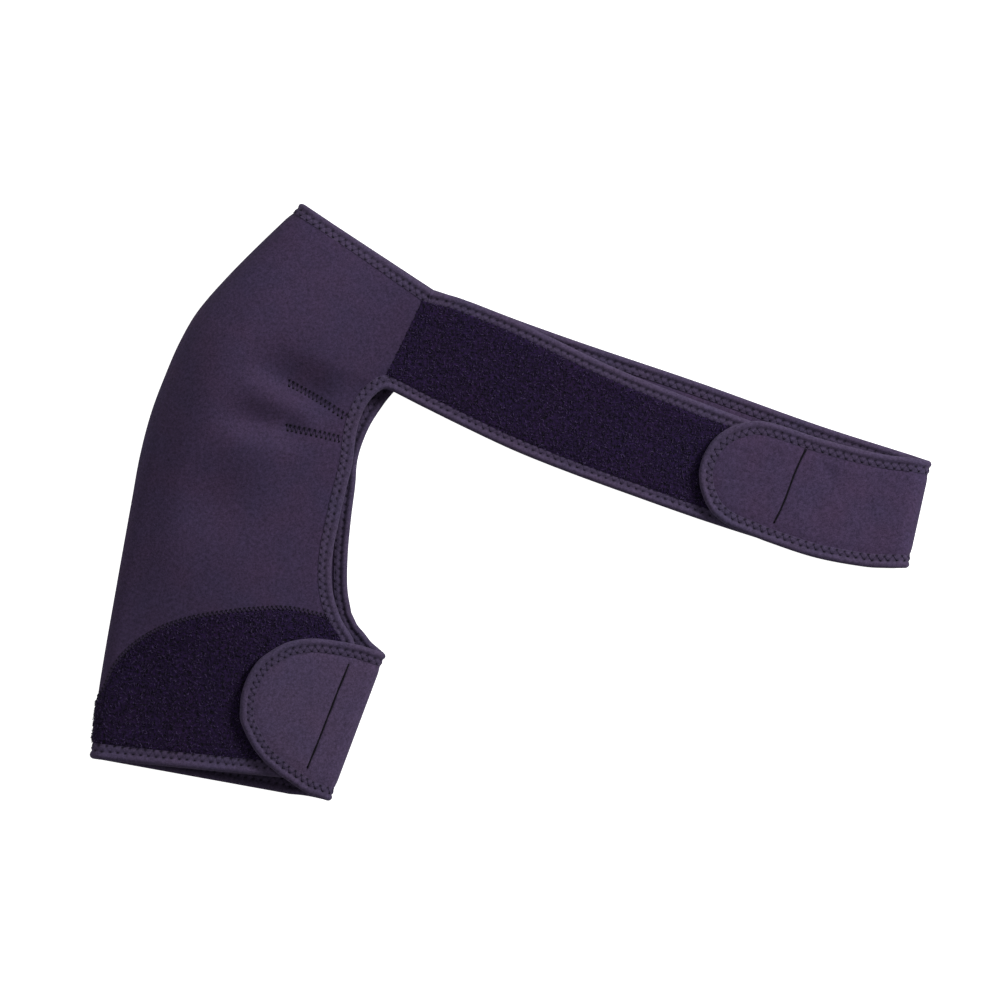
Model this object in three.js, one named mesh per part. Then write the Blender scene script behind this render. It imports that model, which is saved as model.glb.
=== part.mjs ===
import * as THREE from 'three';

// A shoulder brace of soft foam cloth, fastened and lying flat on its back panel.
// Units are millimetres. X runs along the chest strap, Y from the cuff to the shoulder, Z up.

// Sleeve, measured in plan from the corner where the neck edge meets the folded edge
const cuffWidth = 165;
const sleeveLength = 375;
const foldRadius = 12;
const crownHeight = 22;

// Chest strap, measured from the seam where it leaves the shoulder
const strapLength = 354;
const strapWidth = 73;
const strapSlope = THREE.MathUtils.degToRad(19.2);
const chestTabLength = 153;
const chestTabSlope = THREE.MathUtils.degToRad(14);
const frontStrapEnd = 0.9;

// Arm strap, measured from its fold at the right side of the cuff
const armStrapWidth = 102;
const armTabLength = 79.5;
const armTabSlope = THREE.MathUtils.degToRad(20.6);
const armHoldShare = 1.6;

// Cloths and trims
const foamThickness = 3.5;
const loopThickness = 1.2;
const hookThickness = 1.2;
const tapeThickness = 0.8;
const bindingWidth = 9;
const hemWidth = 10.5;

// Spaces between pieces
const clearance = 0.35;
const seamGap = 0.5;
const bindingGap = 0.7;
const cornerGap = 2.8;
const patchGap = 2;
const armpitGap = 5;
const loopGap = 10;
const floorGap = 0.2;
const liftRun = 8;

// Heights of the middle of each layer of foam
const underHeight = foamThickness / 2;
const overHeight = foamThickness * 1.5 + loopGap;
const tabOffset = foamThickness + loopThickness + hookThickness + 3 * clearance;
const edgeLift = clearance + tapeThickness + floorGap;

// Width along each bound edge that stays straight inside its binding
const edgeHold = bindingWidth + 1;
const hemHold = hemWidth + 1;

// Sections of the sleeve from the neck edge (0) to the cuff (1), along its folded edge. x is a
// share of cuffWidth and y of sleeveLength. bend is a share of foldRadius, dome of crownHeight.
const foldRows = [
  { at: 0, x: 0.008, y: -0.003, bend: 0.72, dome: 0.12 },
  { at: 0.089, x: -0.1455, y: -0.067, bend: 0.9, dome: 0.4 },
  { at: 0.175, x: -0.2965, y: -0.134, bend: 1, dome: 0.68 },
  { at: 0.248, x: -0.4185, y: -0.196, bend: 1, dome: 0.88 },
  { at: 0.305, x: -0.4905, y: -0.25, bend: 1, dome: 0.98 },
  { at: 0.36, x: -0.5465, y: -0.306, bend: 1, dome: 1 },
  { at: 0.428, x: -0.6075, y: -0.377, bend: 0.97, dome: 0.95 },
  { at: 0.501, x: -0.6545, y: -0.455, bend: 0.92, dome: 0.85 },
  { at: 0.574, x: -0.6875, y: -0.534, bend: 0.86, dome: 0.74 },
  { at: 0.724, x: -0.754, y: -0.697, bend: 0.75, dome: 0.5 },
  { at: 0.848, x: -0.808, y: -0.833, bend: 0.69, dome: 0.3 },
  { at: 0.914, x: -0.833, y: -0.906, bend: 0.67, dome: 0.24 },
  { at: 1, x: -0.858, y: -1, bend: 0.65, dome: 0.18 },
];

// Right edge of the front panel below the strap seam: the armpit, then the cuff's hidden end.
const frontEdgeRows = [
  { at: 0.248, x: 0.344, y: -0.328 },
  { at: 0.277, x: 0.297, y: -0.341 },
  { at: 0.305, x: 0.254, y: -0.366 },
  { at: 0.36, x: 0.219, y: -0.411 },
  { at: 0.428, x: 0.203, y: -0.469 },
  { at: 0.501, x: 0.177, y: -0.514 },
  { at: 0.574, x: 0.148, y: -0.571 },
  { at: 0.649, x: 0.12, y: -0.636 },
  { at: 0.724, x: 0.12, y: -0.697 },
  { at: 0.793, x: 0.157, y: -0.752 },
  { at: 0.848, x: 0.218, y: -0.806 },
  { at: 0.914, x: 0.173, y: -0.911 },
  { at: 1, x: 0.066, y: -1.04 },
];

// Armpit edge of the back panel, between the seams of the two straps.
const backEdgeRows = [
  { at: 0.248, x: 0.391, y: -0.328 },
  { at: 0.305, x: 0.332, y: -0.359 },
  { at: 0.36, x: 0.268, y: -0.404 },
  { at: 0.428, x: 0.224, y: -0.458 },
  { at: 0.501, x: 0.213, y: -0.509 },
  { at: 0.574, x: 0.195, y: -0.571 },
  { at: 0.649, x: 0.182, y: -0.636 },
  { at: 0.724, x: 0.181, y: -0.697 },
  { at: 0.77, x: 0.196, y: -0.737 },
];
const neckEnds = { front: { x: 0.532, y: -0.159 }, back: { x: 0.536, y: -0.156 } };
const cuffBackEnd = { x: -0.07, y: -1.063 };
const armpitTop = frontEdgeRows[0].at;
const armStrapTop = backEdgeRows[backEdgeRows.length - 1].at;

// Shares of the way down the sleeve. The armpit edge's lift fades out between near and far past a
// strap's seam, and a section's spacing to the next one is measured over spacingReach.
const seamEase = { near: 0.03, far: 0.07 };
const spacingReach = 0.03;

// Soft hollows and swells of the front panel. across runs from the fold (0) to the armpit (1),
// down from the neck (0) to the cuff (1). depth is a share of crownHeight, positive inwards.
const dents = [
  { across: 0.7, down: 0.31, wide: 0.13, tall: 0.032, depth: 0.26 },
  { across: 0.55, down: 0.385, wide: 0.2, tall: 0.034, depth: 0.26 },
  { across: 0.42, down: 0.56, wide: 0.16, tall: 0.05, depth: 0.18 },
  { across: 0.18, down: 0.28, wide: 0.1, tall: 0.12, depth: -0.2 },
  { across: 0.18, down: 0.55, wide: 0.1, tall: 0.14, depth: -0.18 },
  { across: 0.55, down: 0.7, wide: 0.3, tall: 0.07, depth: -0.06 },
  { across: 0.6, down: 0.1, wide: 0.22, tall: 0.06, depth: -0.05 },
];

// Edges of the front chest strap. along is a share of strapLength, across of strapWidth.
const frontStrapRows = [
  { at: 0.05, upper: 0.023, lower: -1.01 },
  { at: 0.15, upper: 0.003, lower: -1.07 },
  { at: 0.25, upper: -0.048, lower: -1.12 },
  { at: 0.35, upper: -0.105, lower: -1.143 },
  { at: 0.46, upper: -0.142, lower: -1.152 },
  { at: 0.65, upper: -0.168, lower: -1.155 },
  { at: 0.9, upper: -0.172, lower: -1.12 },
];

// Edges of the back chest strap up to its fold.
const backStrapRows = [
  { at: 0.08, upper: 0.024, lower: -0.945 },
  { at: 0.18, upper: 0.008, lower: -0.965 },
  { at: 0.32, upper: 0.004, lower: -0.975 },
  { at: 0.55, upper: 0.014, lower: -0.97 },
  { at: 0.8, upper: 0.004, lower: -0.958 },
  { at: 1, upper: 0.028, lower: -0.955 },
];

// Where the chest fold crosses the strap's two edges, as shares of strapLength. The arm strap's
// fold crosses it at x as a share of cuffWidth and y of sleeveLength, and reaches shares of
// armStrapWidth up and down from there.
const chestFoldReach = { upper: 1.008, lower: 1.032 };
const armFold = { x: 0.218, y: -0.949, upper: 0.53, lower: 0.5 };

// Outlines of the two tabs from the fold to the rounded tip. up and low are the two edges.
// along is a share of the tab's length, across of the strap's width.
const chestTabRows = [
  { at: 0, upAlong: 0.08, upAcross: 0.48, lowAlong: 0.06, lowAcross: -0.53 },
  { at: 0.2, upAlong: 0.24, upAcross: 0.443, lowAlong: 0.174, lowAcross: -0.576 },
  { at: 0.45, upAlong: 0.502, upAcross: 0.448, lowAlong: 0.395, lowAcross: -0.604 },
  { at: 0.68, upAlong: 0.694, upAcross: 0.478, lowAlong: 0.617, lowAcross: -0.57 },
  { at: 0.79, upAlong: 0.79, upAcross: 0.465, lowAlong: 0.72, lowAcross: -0.539 },
  { at: 0.88, upAlong: 0.878, upAcross: 0.376, lowAlong: 0.803, lowAcross: -0.511 },
  { at: 0.94, upAlong: 0.935, upAcross: 0.263, lowAlong: 0.87, lowAcross: -0.452 },
  { at: 0.97, upAlong: 0.965, upAcross: 0.144, lowAlong: 0.914, lowAcross: -0.372 },
  { at: 0.99, upAlong: 0.979, upAcross: 0.011, lowAlong: 0.953, lowAcross: -0.256 },
  { at: 1, upAlong: 0.979, upAcross: -0.099, lowAlong: 0.97, lowAcross: -0.171 },
];
const armTabRows = [
  { at: 0, upAlong: 0.12, upAcross: 0.528, lowAlong: 0.11, lowAcross: -0.5 },
  { at: 0.2, upAlong: 0.231, upAcross: 0.521, lowAlong: 0.188, lowAcross: -0.5 },
  { at: 0.42, upAlong: 0.426, upAcross: 0.493, lowAlong: 0.387, lowAcross: -0.462 },
  { at: 0.6, upAlong: 0.612, upAcross: 0.453, lowAlong: 0.513, lowAcross: -0.433 },
  { at: 0.75, upAlong: 0.781, upAcross: 0.378, lowAlong: 0.638, lowAcross: -0.393 },
  { at: 0.86, upAlong: 0.892, upAcross: 0.281, lowAlong: 0.755, lowAcross: -0.335 },
  { at: 0.94, upAlong: 0.969, upAcross: 0.179, lowAlong: 0.847, lowAcross: -0.27 },
  { at: 0.98, upAlong: 0.997, upAcross: 0.049, lowAlong: 0.905, lowAcross: -0.223 },
  { at: 1, upAlong: 0.989, upAcross: -0.063, lowAlong: 0.938, lowAcross: -0.19 },
];

// The arm strap on the floor, from its seam to its fold, as shares of the arm tab's sizes.
const armUnderRows = [
  { upAlong: 0.3, upAcross: 0.64, lowAlong: 0.34, lowAcross: -0.554 },
  { upAlong: 0.224, upAcross: 0.61, lowAlong: 0.233, lowAcross: -0.53 },
  { upAlong: 0.14, upAcross: 0.568, lowAlong: 0.14, lowAcross: -0.515 },
];

// Upper edge of the loop cloth on the lower arm, as a share of the way from neck to cuff.
const armLoopRows = [
  { at: -0.06, top: 0.93 },
  { at: 0, top: 0.905 },
  { at: 0.026, top: 0.881 },
  { at: 0.042, top: 0.855 },
  { at: 0.089, top: 0.827 },
  { at: 0.2, top: 0.797 },
  { at: 0.34, top: 0.779 },
  { at: 0.49, top: 0.7705 },
  { at: 0.645, top: 0.766 },
  { at: 0.8, top: 0.768 },
  { at: 1, top: 0.795 },
];

const lerp = THREE.MathUtils.lerp;
const clamp = THREE.MathUtils.clamp;

// Reads every column of a table at a place between its rows, along a smooth curve.
function readRows(rows, at) {
  const last = rows.length - 1;
  let low = 0;
  while (low < last - 1 && rows[low + 1].at < at) {
    low += 1;
  }
  const span = rows[low + 1].at - rows[low].at;
  const share = clamp((at - rows[low].at) / span, 0, 1);
  const result = { at };
  for (const column of Object.keys(rows[0])) {
    if (column === 'at') {
      continue;
    }
    const slope = (row) => {
      const before = rows[Math.max(row - 1, 0)];
      const after = rows[Math.min(row + 1, last)];
      return (after[column] - before[column]) / (after.at - before.at);
    };
    const start = rows[low][column];
    const end = rows[low + 1][column];
    const share2 = share * share;
    const share3 = share2 * share;
    result[column] = start * (2 * share3 - 3 * share2 + 1)
      + end * (3 * share2 - 2 * share3)
      + slope(low) * span * (share3 - 2 * share2 + share)
      + slope(low + 1) * span * (share3 - share2);
  }
  return result;
}

// Falls smoothly from 1 near an edge to 0 past the run of the lift.
function nearEdge(distance, hold) {
  return 1 - THREE.MathUtils.smoothstep(distance, hold, hold + liftRun);
}

function sleevePlan(shares) {
  return new THREE.Vector2(shares.x * cuffWidth, shares.y * sleeveLength);
}

// Right edge of the front panel: the straight seam of the chest strap, then the armpit.
function frontEdge(down) {
  if (down < armpitTop) {
    const corner = sleevePlan(frontEdgeRows[0]);
    return sleevePlan(neckEnds.front).lerp(corner, down / armpitTop);
  }
  return sleevePlan(readRows(frontEdgeRows, down));
}

// Right edge of the back panel: the chest strap's seam, the armpit, the arm strap's seam.
function backEdge(down) {
  if (down < armpitTop) {
    return sleevePlan(neckEnds.back).lerp(sleevePlan(backEdgeRows[0]), down / armpitTop);
  }
  if (down > armStrapTop) {
    const corner = sleevePlan(backEdgeRows[backEdgeRows.length - 1]);
    return corner.lerp(sleevePlan(cuffBackEnd), (down - armStrapTop) / (1 - armStrapTop));
  }
  return sleevePlan(readRows(backEdgeRows, down));
}

// One section of the sleeve in plan, with its bend radius and dome.
function sleeveSection(down) {
  const row = readRows(foldRows, down);
  return {
    fold: sleevePlan(row),
    front: frontEdge(down),
    back: backEdge(down),
    bend: row.bend * foldRadius,
    dome: row.dome * crownHeight,
  };
}

// Length along the sleeve per unit of down at one end, where its sections lie closest.
function closestSpacing(from, to) {
  const spans = ['fold', 'front', 'back'].map((side) => (
    sleeveSection(from)[side].distanceTo(sleeveSection(to)[side])
  ));
  return Math.min(...spans) / Math.abs(to - from);
}
const neckSpacing = closestSpacing(0, spacingReach);
const cuffSpacing = closestSpacing(1, 1 - spacingReach);
const neckHold = edgeHold / neckSpacing;
const cuffHold = 1 - hemHold / cuffSpacing;

function bendRise(distance, radius) {
  const left = 1 - Math.min(distance / radius, 1);
  return Math.sqrt(1 - left * left);
}

function dentDepth(across, down) {
  let depth = 0;
  for (const dent of dents) {
    const x = (across - dent.across) / dent.wide;
    const y = (down - dent.down) / dent.tall;
    depth += dent.depth * crownHeight * Math.exp(-(x * x + y * y) / 2);
  }
  return depth;
}

// A point of the front panel, a plan distance in from the folded edge.
function frontPanelPoint(distance, down) {
  const section = sleeveSection(down);
  const across = distance / section.fold.distanceTo(section.front);
  const plan = section.fold.clone().lerp(section.front, across);
  const foldTop = underHeight + 2 * section.bend;
  const swell = Math.sin(Math.PI * clamp(across, 0, 1) ** 0.8) ** 1.4;
  const height = foldTop - section.bend * (1 - bendRise(distance, section.bend))
    + (overHeight - foldTop) * across
    + section.dome * swell
    - dentDepth(across, down) * swell;
  return new THREE.Vector3(plan.x, plan.y, height);
}

// A point of the back panel. Its bound edges are lifted by the binding that wraps them.
function backPanelPoint(distance, down) {
  const section = sleeveSection(down);
  const width = section.fold.distanceTo(section.back);
  const plan = section.fold.clone().lerp(section.back, distance / width);
  const armpit = THREE.MathUtils.smoothstep(down, armpitTop - seamEase.near, armpitTop)
    * (1 - THREE.MathUtils.smoothstep(down, armStrapTop + seamEase.near, armStrapTop + seamEase.far));
  const lift = edgeLift * Math.max(
    nearEdge(down * neckSpacing, edgeHold),
    nearEdge((1 - down) * cuffSpacing, hemHold),
    nearEdge(width - distance, edgeHold) * armpit,
  );
  const height = underHeight + section.bend * (1 - bendRise(distance, section.bend));
  return new THREE.Vector3(plan.x, plan.y, height + lift);
}

// Places round the section. A share runs from the bend (0) to the edge (1) of its side, and an
// inset is a distance in from that edge.
const frontPlaces = [
  { side: 'front', inset: 0 },
  { side: 'front', inset: edgeHold },
  ...[0.85, 0.76, 0.67, 0.58, 0.48, 0.38, 0.28, 0.18, 0.08].map((share) => ({ side: 'front', share })),
];
const bendPlaces = [0, 1, 2, 3, 4, 5, 6, 7, 8].map((step) => ({ side: 'bend', share: step / 8 }));
const backPlaces = [
  ...[0.15, 0.35, 0.6].map((share) => ({ side: 'back', share })),
  { side: 'back', inset: edgeHold + liftRun },
  { side: 'back', inset: edgeHold },
  { side: 'back', inset: 0 },
];
const sleevePlaces = [...frontPlaces, ...bendPlaces, ...backPlaces];

function sleevePoint(place, down) {
  const section = sleeveSection(down);
  if (place.side === 'bend') {
    const turn = place.share * Math.PI;
    const distance = section.bend * (1 - Math.sin(turn));
    return turn < Math.PI / 2 ? frontPanelPoint(distance, down) : backPanelPoint(distance, down);
  }
  const width = section.fold.distanceTo(section[place.side]);
  const distance = 'inset' in place ? width - place.inset : lerp(section.bend, width, place.share);
  return place.side === 'front' ? frontPanelPoint(distance, down) : backPanelPoint(distance, down);
}

// Height of the front panel's middle under a plan point near the cuff.
function frontHeightAt(x, y) {
  let down = 0.9;
  let across = 0.5;
  const point = new THREE.Vector2(x, y);
  for (let step = 0; step < 14; step += 1) {
    const section = sleeveSection(down);
    const way = section.front.clone().sub(section.fold);
    const offset = point.clone().sub(section.fold);
    across = clamp(offset.dot(way) / way.lengthSq(), 0.05, 1);
    const towardsCuff = new THREE.Vector2(way.y, -way.x).normalize();
    down = clamp(down + offset.dot(towardsCuff) / sleeveLength, 0.5, 1);
  }
  const section = sleeveSection(down);
  return frontPanelPoint(across * section.fold.distanceTo(section.front), down).z;
}

// Normals of a grid of points, from the steps to each neighbour.
function gridNormals(grid) {
  const rows = grid.length;
  const columns = grid[0].length;
  return grid.map((row, i) => row.map((_, j) => {
    const along = grid[Math.min(i + 1, rows - 1)][j].clone().sub(grid[Math.max(i - 1, 0)][j]);
    const across = grid[i][Math.min(j + 1, columns - 1)].clone().sub(grid[i][Math.max(j - 1, 0)]);
    return along.cross(across).normalize();
  }));
}

// Turns a closed mesh so that its faces point out.
function facingOut(positions, faces) {
  let volume = 0;
  for (let face = 0; face < faces.length; face += 3) {
    const [a, b, c] = [0, 1, 2].map((corner) => positions[faces[face + corner]]);
    volume += a.dot(b.clone().cross(c));
  }
  if (volume < 0) {
    faces.reverse();
  }
  const geometry = new THREE.BufferGeometry().setFromPoints(positions);
  geometry.setIndex(faces);
  geometry.computeVertexNormals();
  return geometry;
}

// A closed sheet of one thickness round the middle surface that a grid of points gives.
function sheetGeometry(grid, thickness, offset = 0) {
  const rows = grid.length;
  const columns = grid[0].length;
  const normals = gridNormals(grid);
  const positions = [];
  for (const side of [0.5, -0.5]) {
    grid.forEach((row, i) => row.forEach((point, j) => {
      positions.push(point.clone().addScaledVector(normals[i][j], offset + side * thickness));
    }));
  }
  const outer = (i, j) => i * columns + j;
  const inner = (i, j) => rows * columns + i * columns + j;
  const faces = [];
  const quad = (a, b, c, d) => faces.push(a, b, c, a, c, d);
  for (let i = 0; i < rows - 1; i += 1) {
    for (let j = 0; j < columns - 1; j += 1) {
      quad(outer(i, j), outer(i + 1, j), outer(i + 1, j + 1), outer(i, j + 1));
      quad(inner(i, j), inner(i, j + 1), inner(i + 1, j + 1), inner(i + 1, j));
    }
  }
  for (let i = 0; i < rows - 1; i += 1) {
    quad(outer(i, 0), inner(i, 0), inner(i + 1, 0), outer(i + 1, 0));
    const last = columns - 1;
    quad(outer(i, last), outer(i + 1, last), inner(i + 1, last), inner(i, last));
  }
  for (let j = 0; j < columns - 1; j += 1) {
    quad(outer(0, j), outer(0, j + 1), inner(0, j + 1), inner(0, j));
    quad(outer(rows - 1, j), inner(rows - 1, j), inner(rows - 1, j + 1), outer(rows - 1, j + 1));
  }
  return facingOut(positions, faces);
}

// Section of the folded tape that wraps an edge: out past the edge, and up along the normal.
function bindingSection(width) {
  const inside = foamThickness / 2 + clearance;
  const outside = inside + tapeThickness;
  const thin = inside + tapeThickness * 0.5;
  return [
    [-width, inside], [clearance, inside], [clearance, -inside], [-width, -inside],
    [-width, -thin], [-width * 0.4, -outside], [clearance, -outside],
    [clearance + tapeThickness, 0],
    [clearance, outside], [-width * 0.4, outside], [-width, thin],
  ];
}

// Cuts a run of edge frames back at both ends.
function trimRun(run, startTrim, endTrim) {
  const reach = [0];
  for (let i = 1; i < run.length; i += 1) {
    reach.push(reach[i - 1] + run[i].edge.distanceTo(run[i - 1].edge));
  }
  const end = reach[reach.length - 1] - endTrim;
  const frameAt = (distance) => {
    let low = 0;
    while (low < run.length - 2 && reach[low + 1] < distance) {
      low += 1;
    }
    const share = (distance - reach[low]) / (reach[low + 1] - reach[low]);
    return {
      edge: run[low].edge.clone().lerp(run[low + 1].edge, share),
      inside: run[low].inside.clone().lerp(run[low + 1].inside, share),
      ruled: run[low].ruled,
    };
  };
  const kept = run.filter((_, i) => reach[i] > startTrim + 1 && reach[i] < end - 1);
  return [frameAt(startTrim), ...kept, frameAt(end)];
}

// Sweeps the tape's section along an edge of a sheet. On a bent sheet the tape lies along the
// sheet's own rulings, and on a flat one square to its edge. Where a ruling runs close along the
// edge, leastSquare holds back how far the tape reaches along it.
const leastSquare = 0.5;

function bindingGeometry(run, width) {
  const section = bindingSection(width);
  const count = section.length;
  const positions = [];
  run.forEach((frame, i) => {
    const ahead = run[Math.min(i + 1, run.length - 1)].edge;
    const behind = run[Math.max(i - 1, 0)].edge;
    const way = ahead.clone().sub(behind).normalize();
    const ruling = frame.edge.clone().sub(frame.inside).normalize();
    const normal = way.clone().cross(ruling).normalize();
    const square = normal.clone().cross(way).normalize();
    const slant = Math.max(ruling.dot(square), leastSquare);
    const out = frame.ruled ? ruling.clone().divideScalar(slant) : square;
    for (const [aside, up] of section) {
      positions.push(frame.edge.clone().addScaledVector(out, aside).addScaledVector(normal, up));
    }
  });
  const faces = [];
  for (let i = 0; i < run.length - 1; i += 1) {
    for (let j = 0; j < count; j += 1) {
      const next = (j + 1) % count;
      const [a, b] = [i * count + j, i * count + next];
      faces.push(a, b, b + count, a, b + count, a + count);
    }
  }
  const contour = section.map(([aside, up]) => new THREE.Vector2(aside, up));
  const lastRing = (run.length - 1) * count;
  for (const [a, b, c] of THREE.ShapeUtils.triangulateShape(contour, [])) {
    const flip = THREE.ShapeUtils.isClockWise(contour);
    faces.push(...(flip ? [a, b, c] : [a, c, b]));
    faces.push(...(flip ? [c, b, a] : [a, b, c]).map((corner) => corner + lastRing));
  }
  return facingOut(positions, faces);
}

const brace = new THREE.Group();

function addPiece(name, geometry, material) {
  const mesh = new THREE.Mesh(geometry, material);
  mesh.name = name;
  brace.add(mesh);
}

function cloth(colour, roughness) {
  return new THREE.MeshStandardMaterial({ color: colour, roughness, metalness: 0 });
}
const foamCloth = cloth(0x31273f, 0.85);
const loopCloth = cloth(0x1f1830, 0.95);
const hookCloth = cloth(0x17131f, 0.7);
const bindingTape = cloth(0x3b3048, 0.8);

// Rows of the sleeve's mesh, closer together beside the bound edges and the seams.
const middleStops = [0.115, 0.175, armpitTop, 0.262, 0.282, 0.31, 0.36, 0.41, 0.47, 0.54, 0.61, 0.68, 0.73];
const lowerStops = [armStrapTop, armStrapTop + seamEase.near, 0.848, 0.88, 0.91];
const sleeveStops = [
  0, neckHold, neckHold + liftRun / neckSpacing,
  ...middleStops, ...lowerStops,
  cuffHold - liftRun / cuffSpacing, cuffHold, 1,
];

function addSleeve() {
  const grid = sleeveStops.map((down) => sleevePlaces.map((place) => sleevePoint(place, down)));
  addPiece('shoulder_sleeve', sheetGeometry(grid, foamThickness), foamCloth);
}

// The loop cloth lies on the sleeve's skin, from just under the fold to the armpit edge.
function addArmLoopPatch() {
  const bottom = 1 - (hemWidth + patchGap) / cuffSpacing;
  const edgePlace = { side: 'front', inset: edgeHold + cornerGap };
  const places = [edgePlace, ...frontPlaces.slice(2), ...bendPlaces.slice(0, 6)];
  const grid = [0, 0.25, 0.5, 0.75, 1].map((share) => places.map((place) => {
    const section = sleeveSection(0.85);
    const width = section.fold.distanceTo(section.front);
    const bendShare = section.bend / width;
    const across = place.side === 'front'
      ? ('inset' in place ? 1 - place.inset / width : lerp(bendShare, 1, place.share))
      : bendShare * (1 - Math.sin(place.share * Math.PI)) * (place.share > 0.5 ? -1 : 1);
    const top = readRows(armLoopRows, across).top;
    return sleevePoint(place, lerp(top, bottom, share));
  }));
  const offset = foamThickness / 2 + clearance + loopThickness / 2;
  addPiece('arm_loop_patch', sheetGeometry(grid, loopThickness, offset), loopCloth);
}

function edgeRun(places, inward) {
  return places.map((spot) => ({
    edge: sleevePoint(spot.place, spot.down),
    inside: sleevePoint(inward(spot).place, inward(spot).down),
    ruled: true,
  }));
}

function addSleeveBindings() {
  const ring = (down) => sleevePlaces.map((place) => ({ place, down }));
  const neck = edgeRun(ring(0), (spot) => ({ place: spot.place, down: neckHold }));
  const neckTrimmed = trimRun(neck, bindingGap, bindingGap);
  addPiece('neck_binding', bindingGeometry(neckTrimmed, bindingWidth), bindingTape);

  const cuff = edgeRun(ring(1), (spot) => ({ place: spot.place, down: cuffHold }));
  addPiece('cuff_binding', bindingGeometry(trimRun(cuff, bindingGap, bindingGap), hemWidth), bindingTape);

  const armpit = (side, stops) => edgeRun(
    stops.map((down) => ({ place: { side, inset: 0 }, down })),
    (spot) => ({ place: { side, inset: edgeHold }, down: spot.down }),
  );
  const frontRun = armpit('front', sleeveStops.filter((down) => down >= armpitTop));
  const frontTrimmed = trimRun(frontRun, armpitGap, hemWidth + cornerGap);
  addPiece('front_armpit_binding', bindingGeometry(frontTrimmed, bindingWidth), bindingTape);

  const backStops = sleeveStops.filter((down) => down >= armpitTop && down <= armStrapTop);
  const backTrimmed = trimRun(armpit('back', backStops), cornerGap, bindingGap);
  addPiece('back_armpit_binding', bindingGeometry(backTrimmed, bindingWidth), bindingTape);
}

// Plan place in a strap's own frame: along from its origin, and across to its upper side.
function strapFrame(origin, wayX, wayY) {
  const way = new THREE.Vector2(wayX, wayY).normalize();
  const up = new THREE.Vector2(-way.y, way.x);
  return (along, across) => origin.clone().addScaledVector(way, along).addScaledVector(up, across);
}

const seamTop = sleeveSection(0).front;
const chestPlan = strapFrame(seamTop, Math.cos(strapSlope), -Math.sin(strapSlope));

// Columns across a strap, with stops where the lift at its bound edges starts and ends.
function strapColumns(strap) {
  const held = strap.hold / strap.width;
  const free = (strap.hold + liftRun) / strap.width;
  return [0, held, free, 0.5, 1 - free, 1 - held, 1];
}

function liftAcross(across, strap) {
  const distance = Math.min(across, 1 - across) * strap.width;
  return edgeLift * nearEdge(distance, strap.hold);
}

// The two ends of a seam on the sleeve, moved off it by the seam's gap.
function seamEnds(side, from, to, reach) {
  return [from, to].map((down) => {
    const section = sleeveSection(down);
    const out = section[side].clone().sub(section.fold).normalize();
    return section[side].clone().addScaledVector(out, reach);
  });
}

const chestStrap = { width: strapWidth, hold: edgeHold };
const armStrap = { width: armStrapWidth, hold: edgeHold * armHoldShare };

// Front strap: a plain strip from the seam to its hidden end under the tab.
const frontStrapStops = [0.05, 0.12, 0.2, 0.3, 0.4, 0.5, 0.6, 0.7, 0.8, frontStrapEnd];

function frontStrapRulings() {
  const [upper, lower] = seamEnds('front', 0, armpitTop, seamGap);
  const rulings = [[upper, lower]];
  for (const stop of frontStrapStops) {
    const row = readRows(frontStrapRows, stop);
    const along = stop * strapLength;
    rulings.push([chestPlan(along, row.upper * strapWidth), chestPlan(along, row.lower * strapWidth)]);
  }
  return rulings;
}

function flatStation([upper, lower], height, ruled) {
  return {
    ruled,
    at(across) {
      const plan = upper.clone().lerp(lower, across);
      return new THREE.Vector3(plan.x, plan.y, height);
    },
  };
}

// Shares across a strap: one that shows which way is inwards from its edge, and one where the
// rounded corner of its end starts.
const insideShare = 0.08;
const endInset = 0.04;

// Edge of a strip: down its upper side, across its end and back along its lower side.
function stripEdge(stations, endColumns) {
  const side = (across, inside) => stations.map((station) => ({
    edge: station.at(across),
    inside: station.at(inside),
    ruled: station.ruled,
  }));
  const last = stations[stations.length - 1];
  const before = stations[stations.length - 2];
  const end = endColumns.map((across) => ({
    edge: last.at(across),
    inside: before.at(across),
    ruled: false,
  }));
  return [...side(0, insideShare), ...end, ...side(1, 1 - insideShare).reverse()];
}

function addFrontStrap() {
  const rulings = frontStrapRulings();
  const stations = rulings.map((ruling, i) => flatStation(ruling, overHeight, i < rulings.length - 1));
  const grid = stations.map((station) => [0, 0.25, 0.5, 0.75, 1].map((across) => station.at(across)));
  addPiece('front_strap', sheetGeometry(grid, foamThickness), foamCloth);

  const run = trimRun(stripEdge(stations, [endInset, 0.5, 1 - endInset]), bindingGap, cornerGap);
  addPiece('front_strap_binding', bindingGeometry(run, bindingWidth), bindingTape);

  const inset = edgeHold / strapWidth;
  const loopHeight = foamThickness / 2 + clearance + loopThickness / 2;
  const last = stations[stations.length - 1];
  const before = stations[stations.length - 2];
  const loopGrid = stations.map((station) => [inset, 0.5, 1 - inset].map((across) => {
    const point = station.at(across);
    if (station === last) {
      const way = before.at(across).sub(point);
      point.addScaledVector(way, edgeHold / way.length());
    }
    return point.setZ(overHeight + loopHeight);
  }));
  addPiece('chest_loop_patch', sheetGeometry(loopGrid, loopThickness), loopCloth);
}

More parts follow.
